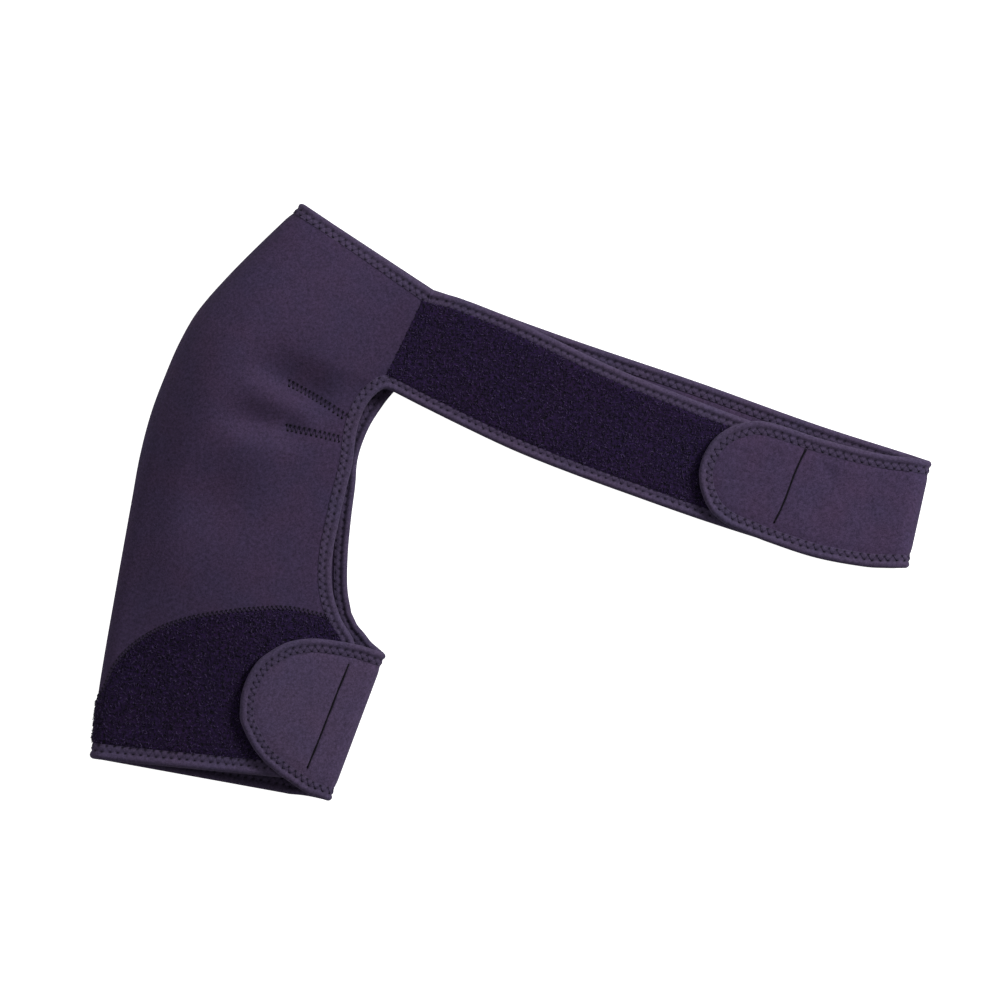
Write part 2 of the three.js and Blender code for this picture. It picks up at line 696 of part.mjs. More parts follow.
// A strap that runs under the brace, turns up round its fold and comes back as a tab. Each
// station gives a plan place for a share across, and the height of the middle of the foam.
function turnedStrap(underRulings, foldLine, tabRulings, tabHeight, strap) {
  const turnSteps = 10;
  const lastUnder = underRulings[underRulings.length - 1];
  const stations = underRulings.map((ruling) => ({
    ruled: true,
    at(across) {
      const plan = ruling[0].clone().lerp(ruling[1], across);
      return new THREE.Vector3(plan.x, plan.y, underHeight + liftAcross(across, strap));
    },
  }));
  for (let step = 1; step < turnSteps; step += 1) {
    const turn = (step / turnSteps - 0.5) * Math.PI;
    stations.push({
      ruled: true,
      at(across) {
        const tip = foldLine[0].clone().lerp(foldLine[1], across);
        const lowStart = lastUnder[0].clone().lerp(lastUnder[1], across);
        const highStart = tabRulings[0][0].clone().lerp(tabRulings[0][1], across);
        const low = underHeight + liftAcross(across, strap);
        const high = tabHeight(highStart.x, highStart.y);
        const plan = (turn < 0 ? lowStart : highStart).lerp(tip, Math.cos(turn));
        return new THREE.Vector3(plan.x, plan.y, lerp(low, high, (1 + Math.sin(turn)) / 2));
      },
    });
  }
  tabRulings.forEach((ruling, i) => stations.push({
    ruled: i < 2,
    at(across) {
      const plan = ruling[0].clone().lerp(ruling[1], across);
      return new THREE.Vector3(plan.x, plan.y, tabHeight(plan.x, plan.y));
    },
  }));
  return stations;
}

function addTurnedStrap(name, bindingName, stations, strap) {
  const grid = stations.map((station) => strapColumns(strap).map((across) => station.at(across)));
  addPiece(name, sheetGeometry(grid, foamThickness), foamCloth);
  const run = trimRun(stripEdge(stations, [0.5]), bindingGap, cornerGap);
  addPiece(bindingName, bindingGeometry(run, bindingWidth), bindingTape);
}

function tabRulings(rows, stops, plan, length, width) {
  return stops.map((stop) => {
    const row = readRows(rows, stop);
    return [
      plan(row.upAlong * length, -row.upAcross * width),
      plan(row.lowAlong * length, -row.lowAcross * width),
    ];
  });
}

const tabStops = [0, 0.2, 0.42, 0.6, 0.72, 0.8, 0.87, 0.92, 0.96, 0.985, 1];

// Back strap: from the hidden seam along the floor to the right end, and back as the chest tab.
const chestTabHeight = () => overHeight + tabOffset;
const chestFoldRow = backStrapRows[backStrapRows.length - 1];
const chestFoldUpper = chestPlan(strapLength * chestFoldReach.upper, chestFoldRow.upper * strapWidth);
const chestFoldLower = chestPlan(strapLength * chestFoldReach.lower, chestFoldRow.lower * strapWidth);
const chestFoldMiddle = chestFoldUpper.clone().lerp(chestFoldLower, 0.5);
const chestTabPlan = strapFrame(chestFoldMiddle, -Math.cos(chestTabSlope), Math.sin(chestTabSlope));

function addBackStrap() {
  const turnDepth = (chestTabHeight() - underHeight) / 2;
  const [upper, lower] = seamEnds('back', 0, armpitTop, seamGap);
  const under = [[upper, lower]];
  const upperEnd = chestFoldReach.upper - turnDepth / strapLength;
  const lowerEnd = chestFoldReach.lower - turnDepth / strapLength;
  for (const share of [0.08, 0.18, 0.32, 0.5, 0.68, 0.84, 1]) {
    const row = readRows(backStrapRows, share);
    under.push([
      chestPlan(share * upperEnd * strapLength, row.upper * strapWidth),
      chestPlan(share * lowerEnd * strapLength, row.lower * strapWidth),
    ]);
  }
  const tab = tabRulings(chestTabRows, tabStops, chestTabPlan, chestTabLength, strapWidth);
  const stations = turnedStrap(under, [chestFoldUpper, chestFoldLower], tab, chestTabHeight, chestStrap);
  addTurnedStrap('back_strap', 'back_strap_binding', stations, chestStrap);
}

// Arm strap: from the hidden seam on the back panel round the cuff, and back as the arm tab.
const armTabHeight = (x, y) => frontHeightAt(x, y) + tabOffset;
const armFoldMiddle = new THREE.Vector2(armFold.x * cuffWidth, armFold.y * sleeveLength);
const armTabPlan = strapFrame(armFoldMiddle, -Math.cos(armTabSlope), Math.sin(armTabSlope));
const smallStep = 0.01;

function addArmStrap() {
  const foldLine = [-armFold.upper, armFold.lower].map((share) => armTabPlan(0, share * armStrapWidth));
  const under = armUnderRows.map((row) => [
    armTabPlan(row.upAlong * armTabLength, -row.upAcross * armStrapWidth),
    armTabPlan(row.lowAlong * armTabLength, -row.lowAcross * armStrapWidth),
  ]);
  const edgeWay = backEdge(armStrapTop).sub(backEdge(armStrapTop - smallStep)).normalize();
  const [upper, lower] = seamEnds('back', armStrapTop, 1, seamGap);
  upper.copy(backEdge(armStrapTop)).addScaledVector(edgeWay, 2 * seamGap);
  const tab = tabRulings(armTabRows, tabStops, armTabPlan, armTabLength, armStrapWidth);
  const stations = turnedStrap([[upper, lower], ...under], foldLine, tab, armTabHeight, armStrap);
  addTurnedStrap('arm_strap', 'arm_strap_binding', stations, armStrap);
}

// Hook cloth under a tab, a plain plate that grips the loop cloth.
function addHookPatch(name, plan, length, width, height, shares) {
  const alongStops = [0, 0.25, 0.5, 0.75, 1].map((share) => lerp(shares.near, shares.far, share));
  const acrossStops = [0, 0.25, 0.5, 0.75, 1].map((share) => lerp(shares.upper, shares.lower, share));
  const drop = foamThickness / 2 + clearance + hookThickness / 2;
  const grid = alongStops.map((along) => acrossStops.map((across) => {
    const place = plan(along * length, -across * width);
    return new THREE.Vector3(place.x, place.y, height(place.x, place.y) - drop);
  }));
  addPiece(name, sheetGeometry(grid, hookThickness), hookCloth);
}

addSleeve();
addSleeveBindings();
addArmLoopPatch();
addFrontStrap();
addBackStrap();
addArmStrap();
addHookPatch('chest_hook_patch', chestTabPlan, chestTabLength, strapWidth, chestTabHeight,
  { near: 0.48, far: 0.78, upper: 0.28, lower: -0.38 });
addHookPatch('arm_hook_patch', armTabPlan, armTabLength, armStrapWidth, armTabHeight,
  { near: 0.3, far: 0.72, upper: 0.2, lower: -0.18 });

// The origin is the middle of the whole brace, on the floor.
const extent = new THREE.Box3().setFromObject(brace, true);
const middle = extent.getCenter(new THREE.Vector3());
brace.position.set(-middle.x, -middle.y, -extent.min.z);

export default brace;
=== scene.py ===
import math

import bpy
import numpy as np
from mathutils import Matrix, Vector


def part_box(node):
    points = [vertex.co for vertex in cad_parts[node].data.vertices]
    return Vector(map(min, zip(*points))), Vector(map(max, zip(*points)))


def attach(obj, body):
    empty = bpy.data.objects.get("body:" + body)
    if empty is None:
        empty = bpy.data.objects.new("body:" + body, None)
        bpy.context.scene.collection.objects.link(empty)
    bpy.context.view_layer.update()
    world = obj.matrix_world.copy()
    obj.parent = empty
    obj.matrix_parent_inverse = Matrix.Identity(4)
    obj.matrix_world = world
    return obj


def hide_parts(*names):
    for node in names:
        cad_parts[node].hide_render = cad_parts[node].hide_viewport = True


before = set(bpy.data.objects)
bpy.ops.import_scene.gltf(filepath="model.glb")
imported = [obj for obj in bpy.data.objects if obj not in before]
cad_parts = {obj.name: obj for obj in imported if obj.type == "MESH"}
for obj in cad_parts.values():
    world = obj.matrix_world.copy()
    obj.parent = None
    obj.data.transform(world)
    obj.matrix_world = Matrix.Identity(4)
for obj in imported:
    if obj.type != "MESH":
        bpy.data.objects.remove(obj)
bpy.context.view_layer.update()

# Shoulder sleeve: one shell of foam faced with nylon jersey, folded along its left side and open at
# the neck, the armpit and the cuff. It is cut flat and sewn to the straps at two seams, and two
# short darts round its front panel over the shoulder. Sizes down to the studio are millimetres.
cuff_width = 165
sleeve_length = 375
fold_radius = 12
crown_height = 22
foam_thickness = 3.5
loop_gap = 10
edge_lift = 1.35
edge_hold = 10
hem_hold = 11.5
lift_run = 8
under_height = foam_thickness / 2
over_height = foam_thickness * 1.5 + loop_gap
armpit_top = 0.248
arm_strap_top = 0.77
furrow_depth = 0.5
furrow_reach = 2.2
tape_grip = 6.5
grip_end = 14
neck_front_end = np.array([0.532 * cuff_width, -0.159 * sleeve_length])
neck_back_end = np.array([0.536 * cuff_width, -0.156 * sleeve_length])
cuff_back_end = np.array([-0.07 * cuff_width, -1.063 * sleeve_length])


def table(columns, *rows):
    """A smooth curve for each column after the first, through the rows of a short table."""
    stops, *values = np.array(rows, float).T
    order = np.arange(len(stops))
    before = np.maximum(order - 1, 0)
    after = np.minimum(order + 1, len(stops) - 1)

    def curve(heights):
        slopes = (heights[after] - heights[before]) / (stops[after] - stops[before])

        def read(at):
            low = np.clip(np.searchsorted(stops, at) - 1, 0, len(stops) - 2)
            span = stops[low + 1] - stops[low]
            t = np.clip((at - stops[low]) / span, 0, 1)
            return (
                heights[low] * (2 * t**3 - 3 * t**2 + 1)
                + heights[low + 1] * (3 * t**2 - 2 * t**3)
                + slopes[low] * span * (t**3 - 2 * t**2 + t)
                + slopes[low + 1] * span * (t**3 - t**2)
            )

        return read

    return {name: curve(column) for name, column in zip(columns.split()[1:], values)}


fold = table(
    "at x y bend dome",
    (0, 0.008, -0.003, 0.72, 0.12),
    (0.089, -0.1455, -0.067, 0.9, 0.4),
    (0.175, -0.2965, -0.134, 1, 0.68),
    (0.248, -0.4185, -0.196, 1, 0.88),
    (0.305, -0.4905, -0.25, 1, 0.98),
    (0.36, -0.5465, -0.306, 1, 1),
    (0.428, -0.6075, -0.377, 0.97, 0.95),
    (0.501, -0.6545, -0.455, 0.92, 0.85),
    (0.574, -0.6875, -0.534, 0.86, 0.74),
    (0.724, -0.754, -0.697, 0.75, 0.5),
    (0.848, -0.808, -0.833, 0.69, 0.3),
    (0.914, -0.833, -0.906, 0.67, 0.24),
    (1, -0.858, -1, 0.65, 0.18),
)
front_armpit = table(
    "at x y",
    (0.248, 0.344, -0.328),
    (0.277, 0.297, -0.341),
    (0.305, 0.254, -0.366),
    (0.36, 0.219, -0.411),
    (0.428, 0.203, -0.469),
    (0.501, 0.177, -0.514),
    (0.574, 0.148, -0.571),
    (0.649, 0.12, -0.636),
    (0.724, 0.12, -0.697),
    (0.793, 0.157, -0.752),
    (0.848, 0.218, -0.806),
    (0.914, 0.173, -0.911),
    (1, 0.066, -1.04),
)
back_armpit = table(
    "at x y",
    (0.248, 0.391, -0.328),
    (0.305, 0.332, -0.359),
    (0.36, 0.268, -0.404),
    (0.428, 0.224, -0.458),
    (0.501, 0.213, -0.509),
    (0.574, 0.195, -0.571),
    (0.649, 0.182, -0.636),
    (0.724, 0.181, -0.697),
    (0.77, 0.196, -0.737),
)
dents = (
    {"across": 0.42, "down": 0.56, "wide": 0.16, "tall": 0.05, "depth": 0.26},
    {"across": 0.18, "down": 0.28, "wide": 0.1, "tall": 0.12, "depth": -0.2},
    {"across": 0.18, "down": 0.55, "wide": 0.1, "tall": 0.14, "depth": -0.18},
    {"across": 0.55, "down": 0.7, "wide": 0.3, "tall": 0.07, "depth": -0.06},
    {"across": 0.6, "down": 0.1, "wide": 0.22, "tall": 0.06, "depth": -0.05},
)
darts = (
    {
        "tip": (-0.056, -0.322), "edge": (0.178, -0.384), "bow": 1.2,
        "valley": 10, "above": 18, "below": 10, "run": (-0.9, 0, 0.3, 0.95),
    },
    {
        "tip": (-0.066, -0.403), "edge": (0.155, -0.424), "bow": 0.36,
        "valley": 8.5, "above": 14, "below": 11, "run": (-1.4, -0.5, 0, 0.6),
    },
)


def smooth(value, low, high):
    t = np.clip((value - low) / (high - low), 0, 1)
    return t * t * (3 - 2 * t)


def mix(start, end, share):
    return start + (end - start) * share


def length(vectors):
    return np.linalg.norm(vectors, axis=-1)


def unit(vectors):
    return vectors / np.maximum(length(vectors), 1e-9)[..., None]


def plan(x, y):
    return np.stack([x * cuff_width, y * sleeve_length], axis=-1)


def fold_line(down):
    return plan(fold["x"](down), fold["y"](down))


def front_edge(down):
    """The chest strap's seam, then the armpit edge of the front panel."""
    corner = plan(front_armpit["x"](armpit_top), front_armpit["y"](armpit_top))
    seam = mix(neck_front_end, corner, (down / armpit_top)[..., None])
    armpit = plan(front_armpit["x"](down), front_armpit["y"](down))
    return np.where((down < armpit_top)[..., None], seam, armpit)


def back_edge(down):
    """The chest strap's seam, the armpit edge of the back panel, then the arm strap's seam."""
    top = plan(back_armpit["x"](armpit_top), back_armpit["y"](armpit_top))
    low = plan(back_armpit["x"](arm_strap_top), back_armpit["y"](arm_strap_top))
    chest_seam = mix(neck_back_end, top, (down / armpit_top)[..., None])
    arm_seam = mix(low, cuff_back_end, ((down - arm_strap_top) / (1 - arm_strap_top))[..., None])
    armpit = plan(back_armpit["x"](down), back_armpit["y"](down))
    edge = np.where((down < armpit_top)[..., None], chest_seam, armpit)
    return np.where((down > arm_strap_top)[..., None], arm_seam, edge)


def closest_spacing(start, end):
    ends = np.array([start, end])
    spans = [length(np.diff(side(ends), axis=0))[0] for side in (fold_line, front_edge, back_edge)]
    return min(spans) / abs(end - start)


neck_spacing = closest_spacing(0, 0.03)
cuff_spacing = closest_spacing(1, 0.97)


def bend_rise(distance, radius):
    left = 1 - np.minimum(distance / radius, 1)
    return np.sqrt(1 - left * left)


def dart_line(dart, share):
    return mix(plan(*dart["tip"]), plan(*dart["edge"]), share)


def dart_furrow(points):
    """Depth of the furrows that the two darts pull into the front panel, and of their valleys."""
    depth = 0
    for dart in darts:
        tip = dart_line(dart, 0)
        way = dart_line(dart, 1) - tip
        along = ((points - tip) @ way) / (way @ way)
        gap = length(points - tip - np.clip(along, 0, 1)[..., None] * way)
        furrow = furrow_depth * np.exp(-((gap / furrow_reach) ** 2)) * smooth(along, -0.12, 0.1)
        aside = (points - tip) @ np.array([-way[1], way[0]]) / length(way)
        wide = np.where(aside > 0, dart["above"], dart["below"])
        start, full, fading, end = dart["run"]
        valley = dart["valley"] * np.exp(-((aside / wide) ** 2))
        depth = depth + furrow + valley * smooth(along, start, full) * smooth(along, end, fading)
    return depth


def front_panel(distance, down):
    """Middle of the front panel's foam, a plan distance in from the fold."""
    start = fold_line(down)
    edge = front_edge(down)
    across = distance / length(edge - start)
    place = mix(start, edge, across[..., None])
    radius = fold["bend"](down) * fold_radius
    fold_top = under_height + 2 * radius
    swell = np.maximum(np.sin(np.pi * np.clip(across, 0, 1) ** 0.8), 0) ** 1.4
    height = fold_top - radius * (1 - bend_rise(distance, radius))
    height = height + (over_height - fold_top) * across + fold["dome"](down) * crown_height * swell
    for dent in dents:
        x = (across - dent["across"]) / dent["wide"]
        y = (down - dent["down"]) / dent["tall"]
        height = height - dent["depth"] * crown_height * np.exp(-(x * x + y * y) / 2) * swell
    height = height - dart_furrow(place)
    return np.concatenate([place, height[..., None]], axis=-1)


def near_edge(distance, hold):
    return 1 - smooth(distance, hold, hold + lift_run)


def back_panel(distance, down):
    """Middle of the back panel's foam. Its bound edges lie on the tape that wraps them."""
    start = fold_line(down)
    edge = back_edge(down)
    width = length(edge - start)
    place = mix(start, edge, (distance / width)[..., None])
    armpit = smooth(down, armpit_top - 0.03, armpit_top)
    armpit = armpit * (1 - smooth(down, arm_strap_top + 0.03, arm_strap_top + 0.07))
    ends = np.maximum(
        near_edge(down * neck_spacing, edge_hold), near_edge((1 - down) * cuff_spacing, hem_hold),
    )
    lift = np.maximum(ends, near_edge(width - distance, edge_hold) * armpit)
    radius = fold["bend"](down) * fold_radius
    height = under_height + radius * (1 - bend_rise(distance, radius)) + edge_lift * lift
    return np.concatenate([place, height[..., None]], axis=-1)


def sleeve_point(girth, down):
    """Girth runs 0 to 1 over the front panel, 1 to 2 round the fold and 2 to 3 over the back."""
    girth, down = np.broadcast_arrays(np.asarray(girth, float), np.asarray(down, float))
    radius = fold["bend"](down) * fold_radius
    front_width = length(front_edge(down) - fold_line(down))
    back_width = length(back_edge(down) - fold_line(down))
    turn = np.clip(girth - 1, 0, 1) * np.pi
    distance = radius * (1 - np.sin(turn))
    distance = np.where(girth < 1, mix(front_width, radius, np.clip(girth, 0, 1)), distance)
    distance = np.where(girth > 2, mix(radius, back_width, np.clip(girth - 2, 0, 1)), distance)
    front = front_panel(distance, down)
    back = back_panel(distance, down)
    return np.where((girth < 1.5)[..., None], front, back)


def grid_normals(grid):
    along = np.empty_like(grid)
    along[1:-1] = grid[2:] - grid[:-2]
    along[0] = grid[1] - grid[0]
    along[-1] = grid[-1] - grid[-2]
    across = np.empty_like(grid)
    across[:, 1:-1] = grid[:, 2:] - grid[:, :-2]
    across[:, 0] = grid[:, 1] - grid[:, 0]
    across[:, -1] = grid[:, -1] - grid[:, -2]
    return unit(np.cross(along, across))


def distance_to(points, line):
    """Distance from each point to the nearest point of a line of close points."""
    flat = points.reshape(-1, 3)
    nearest = np.full(len(flat), np.inf)
    batch = 64
    for start in range(0, len(line), batch):
        gaps = flat[:, None, :] - line[None, start:start + batch, :]
        nearest = np.minimum(nearest, (gaps**2).sum(-1).min(1))
    return np.sqrt(nearest).reshape(points.shape[:-1])


seam_gap = 0.5
seam_stops = np.array([0, armpit_top])
seam_out = unit(front_edge(seam_stops) - fold_line(seam_stops))
chest_seam = front_edge(seam_stops) + seam_out * seam_gap
strap_low, strap_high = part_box("front_strap")
metre = 1000
origin = np.array([
    strap_low.x * metre - chest_seam[1, 0], strap_high.y * metre - chest_seam[0, 1], 0,
])


def make_piece(name, points, faces, material, lay=None):
    """An object of the brace from points in millimetres, on the one body that it has."""
    mesh = bpy.data.meshes.new(name)
    mesh.from_pydata(((points + origin) / metre).tolist(), [], faces)
    mesh.polygons.foreach_set("use_smooth", np.ones(len(mesh.polygons), bool))
    if lay is not None:
        stored = mesh.attributes.new("lay", "FLOAT_VECTOR", "POINT")
        stored.data.foreach_set("vector", lay.astype(np.float32).ravel())
    mesh.materials.append(material)
    piece = bpy.data.objects.new(name, mesh)
    bpy.context.scene.collection.objects.link(piece)
    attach(piece, "root")
    return piece


def grid_faces(index):
    corners = (index[:-1, :-1], index[1:, :-1], index[1:, 1:], index[:-1, 1:])
    return np.stack([corner.ravel() for corner in corners], axis=1)


def make_sheet(name, grid, thickness, material, lift=0, painted_shade=0):
    """A closed sheet round a grid of points on its middle. Its last argument marks painted shade, darker
    cloth along a tab's seam groove.
    """
    rows, columns = grid.shape[:2]
    normals = grid_normals(grid)
    half = np.broadcast_to(np.asarray(thickness) / 2, (rows, columns))[..., None]
    top = grid + normals * (lift + half)
    under = grid + normals * (lift - half)
    index = np.arange(rows * columns).reshape(rows, columns)
    rim = np.concatenate([index[:, 0], index[-1, 1:], index[-2::-1, -1], index[0, -2:0:-1]])
    ahead = np.roll(rim, -1)
    count = rows * columns
    skin = grid_faces(index)
    faces = skin.tolist() + (skin[:, ::-1] + count).tolist()
    faces += np.stack([rim, rim + count, ahead + count, ahead], axis=1).tolist()
    u = np.pad(np.cumsum(length(np.diff(grid, axis=0)), axis=0), ((1, 0), (0, 0)))
    v = np.pad(np.cumsum(length(np.diff(grid, axis=1)), axis=1), ((0, 0), (1, 0)))
    u = np.broadcast_to(u[:, columns // 2:columns // 2 + 1], u.shape)
    lay = np.stack([u, v, np.broadcast_to(painted_shade, u.shape)], axis=-1).reshape(-1, 3)
    points = np.concatenate([top.reshape(-1, 3), under.reshape(-1, 3)])
    piece = make_piece(name, points, faces, material, np.concatenate([lay, lay]))
    piece.data.set_sharp_from_angle(angle=math.radians(60))
    return piece


def add_node(tree, kind, inputs=None, **settings):
    node = tree.nodes.new(kind)
    for key, value in settings.items():
        setattr(node, key, value)
    for socket, value in (inputs or {}).items():
        if isinstance(value, bpy.types.NodeSocket):
            tree.links.new(value, node.inputs[socket])
        else:
            node.inputs[socket].default_value = value
    return node


def sum_of(tree, operation, first, second=0.0):
    return add_node(tree, "ShaderNodeMath", {0: first, 1: second}, operation=operation).outputs[0]


def noise(tree, place, scale, detail=2):
    made = add_node(tree, "ShaderNodeTexNoise", {"Vector": place, "Scale": scale, "Detail": detail})
    return made.outputs[0]


def effect_group(name, inputs, outputs):
    """An empty node group with its named inputs and outputs, and the two nodes that hold them."""
    group = bpy.data.node_groups.new(name, "ShaderNodeTree")
    for socket, kind, value in inputs:
        made = group.interface.new_socket(socket, in_out="INPUT", socket_type=kind)
        made.default_value = value
    for socket, kind in outputs:
        group.interface.new_socket(socket, in_out="OUTPUT", socket_type=kind)
    return group, group.nodes.new("NodeGroupInput").outputs, group.nodes.new("NodeGroupOutput")


cloth_outputs = (
    ("Colour", "NodeSocketColor"), ("Height", "NodeSocketFloat"), ("Roughness", "NodeSocketFloat"),
)


def make_jersey_knit():
    """Fine jersey: columns of small vees along the cloth, with a soft uneven nap over them."""
    group, given, result = effect_group(
        "jersey knit",
        (
            ("Colour", "NodeSocketColor", (0.05, 0.04, 0.07, 1)),
            ("Warm Colour", "NodeSocketColor", (0.06, 0.04, 0.07, 1)),
            ("Wale Width", "NodeSocketFloat", 0.55),
            ("Mottle", "NodeSocketFloat", 0.3),
            ("Painted Shade Depth", "NodeSocketFloat", 0.8),
        ),
        cloth_outputs,
    )
    lay = add_node(group, "ShaderNodeAttribute", attribute_name="lay")
    axes = add_node(group, "ShaderNodeSeparateXYZ", {0: lay.outputs["Vector"]}).outputs
    place = add_node(group, "ShaderNodeTexCoord").outputs["Object"]
    wale = sum_of(group, "DIVIDE", axes["Y"], given["Wale Width"])
    side = sum_of(group, "ABSOLUTE", sum_of(group, "SUBTRACT", sum_of(group, "FRACT", wale), 0.5))
    course = sum_of(group, "DIVIDE", axes["X"], sum_of(group, "MULTIPLY", given["Wale Width"], 0.8))
    vee = sum_of(group, "ADD", course, sum_of(group, "MULTIPLY", side, 1.4))
    loops = sum_of(group, "SINE", sum_of(group, "MULTIPLY", vee, 2 * math.pi))
    ribs = sum_of(group, "MULTIPLY", sum_of(group, "POWER", side, 0.7), 1.3)
    knit = sum_of(group, "ADD", sum_of(group, "MULTIPLY", loops, 0.35), ribs)
    nap = noise(group, place, 1300)
    grain = noise(group, place, 520)
    patches = noise(group, place, 38, detail=3)
    rib_height = sum_of(group, "MULTIPLY", knit, 0.5)
    height = sum_of(group, "ADD", rib_height, sum_of(group, "MULTIPLY", nap, 0.9))
    group.links.new(sum_of(group, "ADD", height, grain), result.inputs["Height"])
    warm = add_node(group, "ShaderNodeMapRange", {"Value": patches, "From Min": 0.25, "From Max": 0.75})
    tone = add_node(group, "ShaderNodeMix", {0: warm.outputs[0]}, data_type="RGBA")
    group.links.new(given["Colour"], tone.inputs[6])
    group.links.new(given["Warm Colour"], tone.inputs[7])
    uneven = sum_of(group, "SUBTRACT", sum_of(group, "ADD", nap, grain), 1)
    speck = sum_of(group, "MULTIPLY", uneven, given["Mottle"])
    light = sum_of(group, "ADD", sum_of(group, "MULTIPLY", speck, 4), 1)
    # Painted shade: the third lay value darkens the colour in the tabs' seam grooves and in the tape's
    # needle pits.
    painted_shade = sum_of(group, "MULTIPLY", axes["Z"], given["Painted Shade Depth"])
    light = sum_of(group, "MULTIPLY", light, sum_of(group, "SUBTRACT", 1, painted_shade))
    shade = add_node(group, "ShaderNodeVectorMath", {0: tone.outputs[2], 3: light}, operation="SCALE")
    group.links.new(shade.outputs[0], result.inputs["Colour"])
    rough = add_node(group, "ShaderNodeMapRange", {"Value": nap, "To Min": 0.72, "To Max": 0.95})
    group.links.new(rough.outputs[0], result.inputs["Roughness"])
    return group


jersey_knit = make_jersey_knit()


def linear(red, green, blue):
    """A colour as seen on a screen, 0 to 255, as the light that it stands for."""
    shares = np.array([red, green, blue]) / 255
    light = np.where(shares < 0.04045, shares / 12.92, ((shares + 0.055) / 1.055) ** 2.4)
    return (*light.tolist(), 1)


def cloth_material(name, effect, values, sheen=0.09, bump=0.3, depth=0.0003):
    """A cloth finish: an effect group feeds the colour, roughness and bump of one soft shader."""
    material = bpy.data.materials.new(name)
    material.use_nodes = True
    tree = material.node_tree
    shader = tree.nodes["Principled BSDF"]
    weave = add_node(tree, "ShaderNodeGroup", node_tree=effect)
    for socket, value in values.items():
        weave.inputs[socket].default_value = value
    relief = add_node(tree, "ShaderNodeBump", {
        "Strength": bump, "Distance": depth, "Height": weave.outputs["Height"],
    })
    tree.links.new(weave.outputs["Colour"], shader.inputs["Base Color"])
    tree.links.new(weave.outputs["Roughness"], shader.inputs["Roughness"])
    tree.links.new(relief.outputs[0], shader.inputs["Normal"])
    shader.inputs["Specular IOR Level"].default_value = 0.12
    shader.inputs["Sheen Weight"].default_value = sheen
    shader.inputs["Sheen Roughness"].default_value = 0.45
    shader.inputs["Sheen Tint"].default_value = linear(196, 184, 222)
    return material


body_jersey = cloth_material(
    "body jersey", jersey_knit,
    {"Colour": linear(50, 41, 66), "Warm Colour": linear(55, 41, 65)},
)

front_girth = 1 - np.linspace(1, 0, 62) ** 1.15
sleeve_girth = np.concatenate([
    front_girth, 1 + np.linspace(0, 1, 19)[1:], 2 + np.linspace(0, 1, 42)[1:],
])
sleeve_down = np.concatenate([
    np.linspace(0, 0.3, 41), np.linspace(0.303, 0.48, 76), np.linspace(0.486, 1, 67),
])


def pressed(inset):
    """Share of the foam's thickness that is left near a bound edge, where the tape grips it."""
    return 0.6 + 0.4 * smooth(inset, tape_grip, grip_end)


def make_sleeve():
    grid = sleeve_point(sleeve_girth[None, :], sleeve_down[:, None])
    in_armpit = sleeve_down >= armpit_top - 0.002
    armpit_back = grid[in_armpit & (sleeve_down <= arm_strap_top), -1]
    bound = np.concatenate([grid[0], grid[-1], grid[in_armpit, 0], armpit_back])
    thickness = foam_thickness * pressed(distance_to(grid, bound))
    return make_sheet("sleeve_shell", grid, thickness, body_jersey)


sleeve = make_sleeve()
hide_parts("shoulder_sleeve")

# Edge tape: a strip of thin jersey folded over each cut edge of the foam and held by one zigzag
# seam through all layers. Each needle hole pulls a small pit, and the tape between them puffs up.
# The neck and the cuff have a ring of it each.
tape_width = 9
hem_width = 10.5
tape_profile = np.array([
    (8.3, 1.2), (8.05, 1.75), (7.5, 1.62), (6.7, 1.85), (5.8, 1.95),
    (4.8, 1.85), (3.95, 1.6), (3.2, 1.95), (2.4, 2.45), (1.5, 2.75),
    (0.7, 2.6), (-0.1, 2.15), (-0.7, 1.45), (-1.08, 0.7), (-1.2, 0),
])
tape_inside = np.array([(8.3, -1.1), (-0.2, -1.1), (-0.35, 0), (-0.2, 1.1), (8.3, 1.1)])
outer_row = 3.95
inner_row = 7.3
rings_per_stitch = 6
pit_depth = 0.42
pit_reach = 0.9
# Reach and strength of the painted shade in and round each needle pit of the tape.
pit_shade_reach = 0.72
pit_shade_strength = 1.9
pressed_under = 0.93
frame_reach = 9.5

tape_jersey = cloth_material(
    "tape jersey", jersey_knit,
    {
        "Colour": linear(61, 53, 77), "Warm Colour": linear(65, 53, 76),
        "Wale Width": 0.45, "Painted Shade Depth": 0.98,
    },
    sheen=0.13,
)


def make_thread_twist():
    """Spun thread: Deep Colour is painted shade where it dives through the cloth, and for the loop yarn
    a darker tone at random; a fine twist runs along it.
    """
    group, given, result = effect_group(
        "thread twist",
        (
            ("Colour", "NodeSocketColor", (0.02, 0.015, 0.03, 1)),
            ("Deep Colour", "NodeSocketColor", (0, 0, 0, 1)),
        ),
        cloth_outputs,
    )
    lay = add_node(group, "ShaderNodeAttribute", attribute_name="lay")
    axes = add_node(group, "ShaderNodeSeparateXYZ", {0: lay.outputs["Vector"]}).outputs
    turns = sum_of(group, "ADD", sum_of(group, "MULTIPLY", axes["X"], 9), axes["Y"])
    twist = sum_of(group, "SINE", sum_of(group, "MULTIPLY", turns, 2 * math.pi))
    tone = add_node(group, "ShaderNodeMix", data_type="RGBA")
    group.links.new(axes["Z"], tone.inputs[0])
    group.links.new(given["Colour"], tone.inputs[6])
    group.links.new(given["Deep Colour"], tone.inputs[7])
    group.links.new(tone.outputs[2], result.inputs["Colour"])
    group.links.new(twist, result.inputs["Height"])
    rough = add_node(group, "ShaderNodeMapRange", {
        "Value": twist, "From Min": -1, "To Min": 0.6, "To Max": 0.75,
    })
    group.links.new(rough.outputs[0], result.inputs["Roughness"])
    return group


thread_twist = make_thread_twist()
# The thread's Deep Colour is painted shade, for its ends in the needle holes.
thread = cloth_material(
    "polyester thread", thread_twist,
    {"Colour": linear(58, 49, 73), "Deep Colour": linear(6, 3, 11)},
    sheen=0.03, bump=0.4, depth=0.0001,
)


